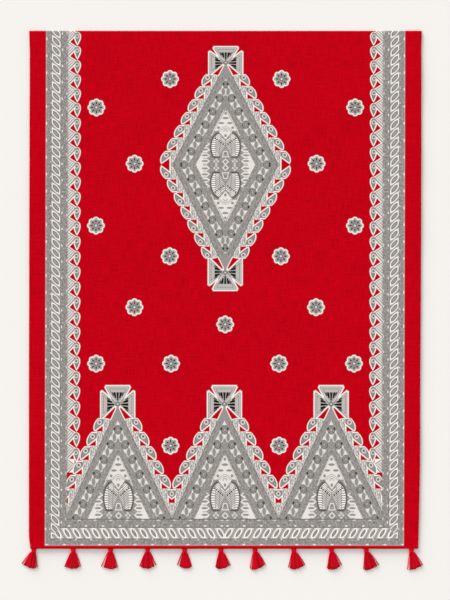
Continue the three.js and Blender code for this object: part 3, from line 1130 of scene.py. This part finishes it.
# %% Inner field
FIELD_HEIGHT = 54.6
POINT_SLOPE = 0.5476
POINT_FOOT = 20.9
POINT_SPOTS = [
    {"at": (0, 3.4), "half": (1.2, 1.4)},
    {"at": (0, 8.0), "half": (3.2, 1.1)},
    {"at": (4.2, 13.0), "half": (2.8, 1.0)},
    {"at": (7.1, 17.6), "half": (1.4, 1.3)},
    {"at": (0, 25.5), "half": (1.3, 1.5)},
]
DROOP_DOWN = 16.4
DROOP_FALL = 4.4
DROOP_HALF = 7.5
RING_DOWN = 21.4
RING_FAR = 1.7
HANGING_TIP = 29.3
ARCH_ASIDE = 5.0
ARCH_DOWN = 37.0
ARCH_HALF = 9.1
ARCH_HEIGHT = 13.6
ARCH_FOOT = 46.2
ROW_PITCH = 1.95
JOINTS_ASIDE = (9.7, 5.6)
HOLE_PITCH = 2.5
BAR_DOWN = 47.1
BAR_ASIDE = 9.2
HOUSE_TOP = 40.8
HOUSE_FOOT = 47.2
PETAL_PITCH = 5.7
PETAL_IN = 15.2
PETAL_BAY = 3.8
PETAL_TOP = 23.0
GEM = 3.4


def draw_field_point(aside, down, tone):
    """The white point at the field's top, its spots, and the small diamond that hangs below it."""
    shape = least((down * POINT_SLOPE - aside) * 0.88, POINT_FOOT - down)
    tone = lay(tone, WHITE, cover(shape))
    hanging = (HANGING_TIP - down) * 0.66 - aside * 0.76
    tone = lay(tone, WHITE, cover(least(hanging, down - 20.8)))
    spots = all_spots(aside, down, POINT_SPOTS)
    from_droop = down - (DROOP_DOWN + DROOP_FALL * work("POWER", least(aside * (1 / DROOP_HALF), 1), 1.5))
    droop = most(band(from_droop, 0.0, 0.3, 0.5), band(from_droop, 1.7, 0.3, 0.5)) * above(8.4, aside)
    spots = most(spots, droop * 0.8)
    ring = band(distance(aside, down - RING_DOWN), RING_FAR, 0.3)
    spots = most(spots, ring * above(22, down))
    return lay(tone, GREY - 0.02, spots * above(HANGING_TIP - 1.5, down))


def draw_field_arch(aside, down, tone):
    """One arch of bricks with its dark outline, the bar under it and the house between the pair.

    The rows of bricks are level on the outer side and bend down towards the middle line, and two
    joints divide them.
    """
    x = (aside - ARCH_ASIDE) * (1 / ARCH_HALF)
    y = (ARCH_DOWN - down) * (1 / ARCH_HEIGHT)
    dome = (1 - distance(x, y)) * ARCH_HALF
    inner = (aside - 0.5 - 0.52 * most(down - 35, 0)) * 0.9
    inner = least(inner, (aside * 0.76 - (HANGING_TIP + 2.0 - down) * 0.66))
    arch = least(least(dome, inner), ARCH_FOOT - down)
    outline = least(dome + 1.35, ARCH_FOOT - down)
    tone = lay(tone, DARK, cover(outline) * above(0.4, dome) * above(aside, 6.2))
    bent = down - 0.8 * most(9.6 - aside, 0) + 0.2 * most(aside - 9.6, 0) * cover(33 - down, 6)
    rows = wave(bent * (1 / ROW_PITCH)) + 0.35
    outer_joint = size(aside - JOINTS_ASIDE[0])
    inner_joint = size(aside - JOINTS_ASIDE[1] + 0.1 * (ARCH_DOWN - down))
    joints = least(outer_joint, inner_joint) * 2.2 - 0.5
    bricks = cover(least(rows, joints), 1.1)
    brick_tone = lay(PALE, LINE_WHITE, cover(4.0 - dome, 1.5))
    tone = lay(tone, lay(GREY - 0.09, brick_tone, bricks), cover(arch))
    from_line = 0.608 * aside + 0.794 * down - 28.6
    along_line = 0.794 * aside - 0.608 * down
    hole_step = (part(along_line * (1 / HOLE_PITCH)) - 0.5) * HOLE_PITCH
    holes = oval(from_line, hole_step, 0, 0, 0.7, 0.7, 0.8)
    tone = lay(tone, BLACK + 0.1, holes * cover(arch - 0.6) * above(35, down))
    tone = lay(tone, DARK, band(down, BAR_DOWN, 0.75) * band(aside, BAR_ASIDE, 3.6))
    under_top = down - HOUSE_TOP
    house = least(least(HOUSE_FOOT - down, under_top), 1.9 + under_top * 0.3 - aside)
    tone = lay(tone, WHITE, cover(house))
    tone = lay(tone, DEEP + 0.04, cover(house - 1.0))
    return lay(tone, LIGHT, band(down, 44.9, 0.35) * cover(house - 1.0))


def draw_field_middle(aside, out, tone):
    """What lies low in the field: the gem, the flower beside it, and the white petals at the side."""
    gem = (GEM - aside - size(out - 2.9)) * 0.75
    tone = lay(tone, WHITE, cover(gem))
    tone = lay(tone, GREY - 0.03, cover(gem - 1.1))
    x = aside - 9.3
    y = out - 3.0
    blobs = most(oval(size(x), y, 1.9, 0.2, 1.1, 1.0), oval(x, size(y), 0.0, 2.0, 1.0, 1.1))
    tone = lay(tone, PALE, blobs)
    count = (out - 0.6) * (1 / PETAL_PITCH)
    across_petal = (part(count) - 0.5) * 2
    bay = PETAL_IN + PETAL_BAY * size(across_petal)
    petals = least(aside - bay, PETAL_TOP - out)
    tone = lay(tone, WHITE, cover(petals))
    seeds = oval(aside + 0.5 * across_petal, across_petal * (PETAL_PITCH / 2), 20.6, 0.2, 3.3, 1.0)
    lines = band(size(across_petal), 1.0, 0.13, 0.2) * above(22.5, aside)
    return lay(tone, GREY, most(seeds, lines * 0.9) * cover(petals - 0.3))


def draw_inner_field(aside, down):
    """All of the inner field, from the middle line outwards and down from its top point."""
    tone = GREY - 0.01 + GRAIN_SHARE * place(GRAIN, aside, down)
    tone = draw_field_arch(aside, down, tone)
    tone = draw_field_point(aside, down, tone)
    slanted = aside - 0.55 * (down - 24)
    tone = lay(tone, WHITE, oval(slanted, down, 13.4, 24, 0.6, 2.2))
    return draw_field_middle(aside, FIELD_HEIGHT - down, tone)


INNER_FIELD = motif("inner_field", ["aside", "down"], ["tone"], draw_inner_field)

# %% [markdown]
# The cap
#
# Each point ends in a cap of three fans, one straight on and one to each side, with double white
# rims and black rays towards the middle. The fan that a place belongs to is found first, so all
# three are drawn by the same sums.

# %% Cap
CAP_REACH = 17.0
CAP_HALF = 17.7
RIM_LINE = 1.75
DOTTED_LINE = 3.5
CAP_FIELD = 4.0
DOT_RATE = 0.42
FAN_START = 9.6
RAY_OUTER = 10.5
RAY_INNER = 3.4
SECOND_RAY_START = 5.6
THIRD_RAY_START = 7.6


def rounded(a, b):
    """The lesser of two distances, cut off across the corner where both are small."""
    return least(least(a, b), (a + b) * 0.75 - 1.6)


def draw_cap(aside, out):
    """Ink depth and tone by how far aside of the middle line and outward from the cap's middle.

    A fan's depth is the least distance inside its straight sides. Rims and dots are bands of that
    depth, and the rays are narrow wedges by how far out a place is and how far off the fan's line.
    """
    straight = rounded(CAP_REACH - out, (9.7 - aside + (out - 8.6) * 0.6) * 0.86)
    sideways = rounded(CAP_HALF - aside, (8.4 + 0.72 * (aside - 9.6) - out) * 0.81)
    sideways = least(sideways, (out + 2.4 + 0.865 * (aside - 2.7)) * 0.756)
    diagonal = out - aside + 1.1
    is_straight = above(diagonal, 0)
    ink = most(straight, sideways)
    own = lay(sideways, straight, is_straight)
    reach = lay(aside, out, is_straight)
    off = lay(size(out + 0.1), aside, is_straight)
    tone = lay(LIGHT + 0.06, GREY, band(own, RIM_LINE, 0.3, 0.5))
    dotted = wave(off * DOT_RATE + 0.2) * 0.3 + 0.8
    tone = lay(tone, DEEP, band(own, DOTTED_LINE, 0.35, 0.5) * dotted)
    tone = lay(tone, LIGHT + 0.03, cover(own - CAP_FIELD))
    tone = lay(tone, WHITE, band(size(diagonal), 1.9, 0.35) * above(FAN_START, aside))
    tone = lay(tone, GREY, band(diagonal, 0, 0.6) * above(FAN_START, aside))
    middle_ray = 0.2 + 0.075 * reach - off
    second_ray = least(0.4 + 0.055 * reach - size(off - 0.2 * reach - 1.1), reach - SECOND_RAY_START)
    third_ray = least(0.75 - size(off - 0.53 * reach), reach - THIRD_RAY_START)
    ends = least(RAY_OUTER - reach, reach - RAY_INNER)
    fan = least(ends, 0.62 * reach + 0.3 - off)
    tone = lay(tone, DEEP + 0.02, cover(least(fan, 0.42 * reach + 0.4 - off)) * 0.5)
    tone = lay(tone, DARK - 0.08, cover(least(third_ray, fan), 0.5))
    tone = lay(tone, BLACK, cover(least(most(middle_ray, second_ray), ends), 0.4))
    tone = lay(tone, DEEP + 0.02, cover(RAY_INNER - aside - size(out), 0.8))
    tone = lay(tone, PALE, oval(aside, out, 0, 0.4, 0.8, 0.8))
    return ink, lay(tone, LINE_WHITE, cover(1.15 - ink))


CAP = motif("cap", ["aside", "out"], ["depth", "tone"], draw_cap)

# %% [markdown]
# Field rosettes
#
# Small flowers of eight petals are scattered over the red field, the same on both sides of the
# middle. The list holds how far each is aside of the middle line, and its row. The nearest flower is
# found first, then the plane is folded onto half a petal, and one half petal is drawn.

# %% Rosettes
ROSETTES = [
    (55.8, 78.9), (129.4, 107.4), (91.0, 163.6), (129.5, 225.6), (55.6, 256.2),
    (90.8, 307.2), (0.0, 324.4), (54.0, 363.6), (129.0, 363.6), (54.3, 445.7),
]
ROSETTE_ROOM = 12.0
OFF_CHART = 50.0
LOBE_AT = 5.7
LOBE_HALF = 3.2
FLOWER_HALF = 7.2
HALF_TURN_SLOPE = math.tan(math.radians(22.5))
DIAGONAL = math.sqrt(0.5)


def draw_rosettes(aside, row):
    """Ink and tone of the flower that is nearest."""
    x = OFF_CHART
    y = 0.0
    for flower_aside, flower_row in ROSETTES:
        from_x = aside - flower_aside
        from_y = row - flower_row
        here = above(ROSETTE_ROOM, most(size(from_x), size(from_y)))
        x = lay(x, from_x, here)
        y = lay(y, from_y, here)
    longer = most(size(x), size(y))
    shorter = least(size(x), size(y))
    turned = above(shorter, longer * HALF_TURN_SLOPE)
    u = lay(longer, (longer + shorter) * DIAGONAL, turned)
    v = lay(shorter, (longer - shorter) * DIAGONAL, turned)
    far = distance(u, v)
    ink = most(LOBE_HALF - distance(u - LOBE_AT, v), FLOWER_HALF - far)
    tone = lay(GREY + 0.03, LIGHT, cover(2.3 - ink))
    tone = lay(tone, GREY - 0.04, band(v, 0.36 * far, 0.3, 0.5) * cover(6.0 - far))
    tone = lay(tone, BLACK + 0.12, oval(u, v, 4.5, 0.0, 1.45, 0.62))
    tone = lay(tone, DEEP, cover(2.3 - far))
    tone = lay(tone, WHITE, cover(1.0 - far))
    return cover(ink), lay(tone, LINE_WHITE, cover(1.15 - ink))


ROSETTE = motif("field_rosettes", ["aside", "row"], ["ink", "tone"], draw_rosettes)

# %% [markdown]
# The figures
#
# The medallion and the three temples are the same figure at two scales. The medallion is folded
# about its own middle both ways. The temples stand side by side on the foot border, so each place is
# folded to the nearest temple's middle line. From there on, the same motifs serve both. Each row of
# the table of sizes holds the medallion's own and then the temples'.

# %% Figures
FIGURE_SIZES = {
    "side": (53.0, 54.1),
    "side_slope": (0.522, 0.478),
    "first_leaf": (1.35, 2.34),
    "leaves_in_a_row": (1 / 12.93, 1 / 14.32),
    "leaf_in": (64.7, 66.1),
    "leaf_step_in": (6.85, 7.05),
    "top": (90.6, 101.6),
    "first_disc": (0.0, 0.8),
    "discs_in_a_row": (1 / CHAIN_PITCH, 1 / 14.82),
    "disc_in": (41.2, 42.4),
    "field_in": (23.3, 22.85),
}
LAST_LEAF = 6
FIELD_TOP_ROW = 455.3
FIELD_STRETCH = 1.17
CAP_UP = 101.7
CAP_DOWN = 103.4
CAP_DOWN_STRETCH = 1.08
CAP_ON_TEMPLE = 115.1
CAP_TEMPLE_STRETCH = 1.15
CAP_CUT = 17.6
NECK_BELOW = 1.5
TEMPLE_PITCH = 106.75
TEMPLE_SHIFT = 0.25
MEDALLION_SHIFT = 0.2
MEDALLION_ROW = 164.6
BENEATH_SHRINK = 0.038
TEMPLE_FOOT_ROW = 519.6
TEMPLE_LEAN = 0.011
TEMPLE_LEAN_ROW = 410
FIGURE_SPLIT_ROW = 330.0


def choose(first, second, which):
    """The first value where which is 0, and the second where it is 1."""
    return lay(first, second, which)


def draw_figures(column, row):
    """Ink and tone of the medallion and the temples, by chart column and row."""
    low = above(row, FIGURE_SPLIT_ROW)
    own = {word: choose(*pair, low) for word, pair in FIGURE_SIZES.items()}
    from_temples = column + TEMPLE_SHIFT - TEMPLE_LEAN * most(row - TEMPLE_LEAN_ROW, 0)
    nearest = most(least(whole(from_temples * (1 / TEMPLE_PITCH) + 0.5), 1), -1)
    aside = choose(size(column - MEDALLION_SHIFT), size(from_temples - TEMPLE_PITCH * nearest), low)
    beneath = above(row, MEDALLION_ROW)
    up_medallion = size(row - MEDALLION_ROW) * (1 - BENEATH_SHRINK * beneath)
    up = choose(up_medallion, TEMPLE_FOOT_ROW - row, low)
    depth = own["side"] - own["side_slope"] * up - aside

    leaf_count = (up - own["first_leaf"]) * own["leaves_in_a_row"]
    leaf = most(least(whole(leaf_count), LAST_LEAF), 0)
    leaf_in = own["leaf_in"] - own["leaf_step_in"] * leaf - aside
    leaf_depth, leaf_tone = place(FIGURE_LEAF, leaf_in, (leaf_count - leaf) * FIGURE_LEAF_PITCH)
    from_top = own["top"] - 0.25 * most(12 - aside, 0) - up
    leaf_depth = least(leaf_depth, from_top)
    tone = lay(leaf_tone, WHITE, cover(1.1 - from_top))
    neck = above(up, own["top"] - NECK_BELOW)
    spine = most(depth + 1.25 * neck, 2.3 - aside - 9 * (1 - neck))

    chain_up = (up - own["first_disc"]) * own["discs_in_a_row"]
    chain_in = (own["disc_in"] - aside) * (1 / CHAIN_STEP)
    count = 0.5 * chain_up + 0.5 * chain_in
    rosette = whole(count + 0.5)
    gap = whole(count) + 0.5
    chain_tone = place(
        CHAIN,
        (chain_in - rosette) * -CHAIN_STEP, (chain_up - rosette) * CHAIN_PITCH,
        (chain_in - gap) * -CHAIN_STEP, (chain_up - gap) * CHAIN_PITCH, depth,
    )
    tone = lay(tone, chain_tone, cover(depth))

    down = choose(FIELD_HEIGHT - up_medallion, (row - FIELD_TOP_ROW) * (1 / FIELD_STRETCH), low)
    into_field = depth - own["field_in"]
    field = cover(into_field * 0.88)
    tone = lay(tone, place(INNER_FIELD, aside, down), field)
    tone = lay(tone, WHITE, band(into_field, 0.0, 0.45) * above(22, down) * above(down, 0.5))

    cap_up = choose(choose(CAP_UP, CAP_DOWN, beneath), CAP_ON_TEMPLE, low)
    shrink = choose(choose(1.0, 1 / CAP_DOWN_STRETCH, beneath), 1 / CAP_TEMPLE_STRETCH, low)
    cap_out = (up - cap_up) * shrink
    cap_depth, cap_tone = place(CAP, aside, cap_out)
    cap_ink = cover(cap_depth) * above(cap_out, -12.2)
    tone = lay(tone, cap_tone, cap_ink)
    neck_ink = cover(spine) * neck * above(-1.5, cap_out)
    tone = lay(tone, lay(GREY, LINE_WHITE, cover(1.1 - spine)), neck_ink)
    ink = most(most(cover(most(leaf_depth, depth)), neck_ink), cap_ink) * above(CAP_CUT, cap_out)
    return ink, tone


FIGURES = motif("figures", ["column", "row"], ["ink", "tone"], draw_figures)

# %% [markdown]
# The whole print
#
# The motifs are laid over each other in the order in which they were printed: the border first,
# then its leaves, the figures, and the scattered flowers. The cloth was printed a little askew, so
# the chart's middle line leans by a fortieth of a millimetre in each centimetre.

# %% Whole print
FOLD_ROW = 30.7
CHART_LEAN = 0.0026
CHART_MIDDLE = 0.55
BORDER_HALF = 179.6
FOOT_ROW = 545.6
FOOT_SCALE = 1.2
FOOT_PITCH = 9.6
FOOT_SLANT = 0.64
BAND_WIDTH = 21.7
FOOT_BAND_WIDTH = 22.6
FOOT_SHIFT = 0.35
FOOT_START = 711.2
CELL_START = 10.6
LEAF_REACH = 40
LAST_LEAF_ROW = 463
CLOSING_IN = 29.5
CLOSING_ROWS = (459, 472.5)
FIGURE_END_ROW = 518.8
ROSETTE_SHIFT = 0.3
LEAF_STATIONS = [
    (41.6, 0.712), (98.4, 4.712), (171.9, 9.712), (246.5, 14.712), (322.0, 19.712),
    (396.3, 24.712), (458.5, 28.712),
]


def along_stations(row):
    """Counts the border leaves down to a row: straight between stations, with a new slope at each.

    A station is a row and the count of leaves down to it.
    """
    count = row * 0.0 + LEAF_STATIONS[0][1]
    slope = 0.0
    for (here, leaves), (after, more_leaves) in zip(LEAF_STATIONS, LEAF_STATIONS[1:]):
        next_slope = (more_leaves - leaves) / (after - here)
        beyond = row - here
        count = count + (next_slope - slope) * (most(beyond, 0) if slope else beyond)
        slope = next_slope
    return count


def draw_print(across, down):
    """Ink and tone by metres across from the cloth's middle and metres down from the fold."""
    row = size(down) * (1 / LINE) + FOLD_ROW
    column = across * (1 / LINE) - CHART_MIDDLE + CHART_LEAN * (row - 60)
    side_in = BORDER_HALF - size(column)
    foot_in = (FOOT_ROW - row) * (1 / FOOT_SCALE)
    at_side = above(foot_in, side_in)
    inward = least(side_in, foot_in)
    foot_onward = (size(column - FOOT_SHIFT) + FOOT_START) * (CABLE_PITCH / FOOT_PITCH)
    foot_onward = foot_onward + (CABLE_SLANT - FOOT_SLANT) * (foot_in - CABLE_MIDDLE)
    onward = choose(foot_onward, row, at_side)
    tone = place(BORDER_BAND, inward, onward, 1 - at_side)
    ink = above(choose(FOOT_BAND_WIDTH, BAND_WIDTH + 0.3, at_side), inward)

    leaf_cell = part(along_stations(row)) * LEAF_PITCH - CELL_START
    leaf_ink, leaf_tone = place(BORDER_LEAF, side_in, leaf_cell)
    closing = above(CLOSING_IN, side_in) * above(row, CLOSING_ROWS[0]) * above(CLOSING_ROWS[1], row)
    leaf_ink = leaf_ink * above(LAST_LEAF_ROW, row) * above(LEAF_REACH, side_in)
    leaf_ink = most(leaf_ink, closing) * above(side_in, BAND_WIDTH)
    tone = lay(tone, leaf_tone, leaf_ink)
    ink = most(ink, leaf_ink)

    figure_ink, figure_tone = place(FIGURES, column, row)
    figure_ink = figure_ink * above(FIGURE_END_ROW, row) * above(side_in, BAND_WIDTH)
    tone = lay(tone, figure_tone, figure_ink)
    ink = most(ink, figure_ink)

    flower_ink, flower_tone = place(ROSETTE, size(column - ROSETTE_SHIFT), row)
    tone = lay(tone, flower_tone, flower_ink)
    ink = most(ink, flower_ink) * cover(side_in) * cover(FOOT_ROW - row)
    return ink, tone


PRINT = motif("dupatta_print", ["across", "down"], ["ink", "tone"], draw_print)

# %% [markdown]
# The cotton
#
# The cloth is a plain weave of red cotton yarn. Close up, each yarn passes over one and under the
# next, and here and there a yarn is thicker: a slub, which shows as a faint streak. The ink sits in
# the weave and is as matt as the cloth. The colour is the red cloth with the ink laid over it, and
# the bump holds the yarns and the slubs.

# %% Plain weave
YARN_PITCH = 0.62 * MM
NOISE_DETAIL = 2.0


def draw_weave(across, down):
    """Height of a plain weave: two waves at right angles, each standing over the other in turn."""
    warp = across * (1 / YARN_PITCH)
    weft = down * (1 / YARN_PITCH)
    turn = wave(warp * 0.5) * wave(weft * 0.5)
    over = size(wave(warp * 0.5 + 0.25)) * (0.5 + 0.5 * turn)
    under = size(wave(weft * 0.5 + 0.25)) * (0.5 - 0.5 * turn)
    return over + under


WEAVE = motif("plain_weave", ["across", "down"], ["height"], draw_weave)


def streaks(mapped, scale_across, scale_down):
    """Noise stretched along one yarn direction, for slubs. Gives an amount from 0 to 1."""
    mapping = drawing[-1].nodes.new("ShaderNodeMapping")
    mapping.inputs["Scale"].default_value = (scale_across, scale_down, 1)
    drawing[-1].links.new(mapped, mapping.inputs["Vector"])
    return noise_on(mapping.outputs["Vector"], 1.0, NOISE_DETAIL)


def add_bump(height, strength, depth):
    """Makes an amount stand up as small bumps of the surface."""
    tree = drawing[-1]
    bump = tree.nodes.new("ShaderNodeBump")
    set_inputs(bump, {"Strength": strength, "Distance": depth})
    connect(height, bump.inputs["Height"])
    tree.links.new(bump.outputs["Normal"], tree.nodes["Principled BSDF"].inputs["Normal"])


# %% Cotton material
CLOTH_RED = (0.505, 0.0002, 0.0068)
INK_TINT = (1.0, 0.975, 0.955)
INK_STRENGTH = 0.93
SCREEN_POWER = 2.2
SLUB_LONG = 32
SLUB_FINE = 420
CLOUD_SCALE = 9
SLUB_SHADE = 0.6
CLOUD_SHADE = 0.1
SLUB_RISE = 0.8
WEAVE_BUMP = 0.5
WEAVE_DEPTH = 0.12 * MM
COTTON_LOOK = {
    "Roughness": 0.92,
    "Specular IOR Level": 0.02,
    "Sheen Weight": 0.03,
    "Sheen Roughness": 0.5,
    "Sheen Tint": (0.8, 0.05, 0.06, 1),
}


def colour_of(red, green, blue):
    """Joins three amounts to one colour."""
    node = drawing[-1].nodes.new("ShaderNodeCombineColor")
    for value, socket in zip((red, green, blue), node.inputs):
        connect(value, socket)
    return node.outputs["Color"]


def cotton_material():
    """Red cotton with the print. A tone is as seen, so its light is the tone to the screen's power."""
    material = new_material("printed_cotton", COTTON_LOOK)
    tree = material.node_tree
    shader = tree.nodes["Principled BSDF"]
    drawing.append(tree)
    cloth_map = tree.nodes.new("ShaderNodeUVMap")
    cloth_map.uv_map = "cloth"
    split = tree.nodes.new("ShaderNodeSeparateXYZ")
    tree.links.new(cloth_map.outputs["UV"], split.inputs["Vector"])
    across = Amount(split.outputs["X"])
    down = Amount(split.outputs["Y"])
    ink, tone = place(PRINT, across, down)
    warp_slub = streaks(cloth_map.outputs["UV"], SLUB_FINE, SLUB_LONG)
    weft_slub = streaks(cloth_map.outputs["UV"], SLUB_LONG, SLUB_FINE)
    cloud = streaks(cloth_map.outputs["UV"], CLOUD_SCALE, CLOUD_SCALE)
    shade = 1.0 + SLUB_SHADE * (warp_slub - 0.5) + SLUB_SHADE * (weft_slub - 0.5)
    shade = shade + CLOUD_SHADE * (cloud - 0.5)
    print_light = work("POWER", tone, SCREEN_POWER) * INK_STRENGTH
    channels = []
    for cloth_part, ink_part in zip(CLOTH_RED, INK_TINT):
        channels.append(lay(cloth_part * shade, print_light * (ink_part ** SCREEN_POWER), ink))
    tree.links.new(colour_of(*channels), shader.inputs["Base Color"])
    height = place(WEAVE, across, down) + SLUB_RISE * warp_slub + SLUB_RISE * weft_slub
    add_bump(height, WEAVE_BUMP, WEAVE_DEPTH)
    drawing.pop()
    return material


cotton = cotton_material()

# %% [markdown]
# The tassel thread
#
# The threads are soft cotton of a slightly livelier red. Each has its own tint, stored on its
# points, so the locks show as lighter and darker strands, and they are duller between.

# %% Thread material
THREAD_DULL = (0.40, 0.0004, 0.006)
THREAD_BRIGHT = (0.86, 0.0012, 0.019)
FIBRE_SCALE = 900
FIBRE_BUMP = 0.4
FIBRE_DEPTH = 0.1 * MM
THREAD_LOOK = {
    "Roughness": 0.8,
    "Specular IOR Level": 0.08,
    "Sheen Weight": 0.1,
    "Sheen Tint": (0.9, 0.05, 0.07, 1),
}


def thread_material(name, low, high):
    """Soft red thread whose colour goes from one red to another with each thread's tint."""
    material = new_material(name, THREAD_LOOK)
    tree = material.node_tree
    shader = tree.nodes["Principled BSDF"]
    drawing.append(tree)
    tint = tree.nodes.new("ShaderNodeAttribute")
    tint.attribute_name = "tint"
    colour = tree.nodes.new("ShaderNodeMix")
    colour.data_type = "RGBA"
    colour.inputs["A"].default_value = (*low, 1)
    colour.inputs["B"].default_value = (*high, 1)
    tree.links.new(tint.outputs["Fac"], colour.inputs["Factor"])
    tree.links.new(colour.outputs["Result"], shader.inputs["Base Color"])
    seat = tree.nodes.new("ShaderNodeTexCoord")
    add_bump(noise_on(seat.outputs["Object"], FIBRE_SCALE, NOISE_DETAIL), FIBRE_BUMP, FIBRE_DEPTH)
    drawing.pop()
    return material


tassel_thread = thread_material("tassel_thread", THREAD_DULL, THREAD_BRIGHT)

# %% [markdown]
# Putting it together
#
# Each piece gets its material and rides on the one body, and the solids that it stands for are
# hidden.

# %% Attach the pieces


def attach(piece, material, slot, *nodes):
    """Gives a piece its material and body, and names the solids that it replaces."""
    piece.data.materials.append(material)
    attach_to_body(piece, "root")
    if nodes:
        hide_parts(*nodes)


attach(cloth_upper, cotton, "cotton", "cloth_upper")
attach(cloth_under, cotton, "cotton", "cloth_under")
attach(end_hem, cotton, "cotton", "end_hem")
attach(stitches, tassel_thread, "tassel_thread")
set_tint(stitches, np.full(len(stitches.data.vertices), STITCH_TINT))
edge_pieces = [end_hem, stitches]
for number, head, skirt in tassel_pieces:
    attach(head, tassel_thread, "tassel_thread")
    attach(skirt, tassel_thread, "tassel_thread", "tassel_%02d" % number)
    edge_pieces += [head, skirt]
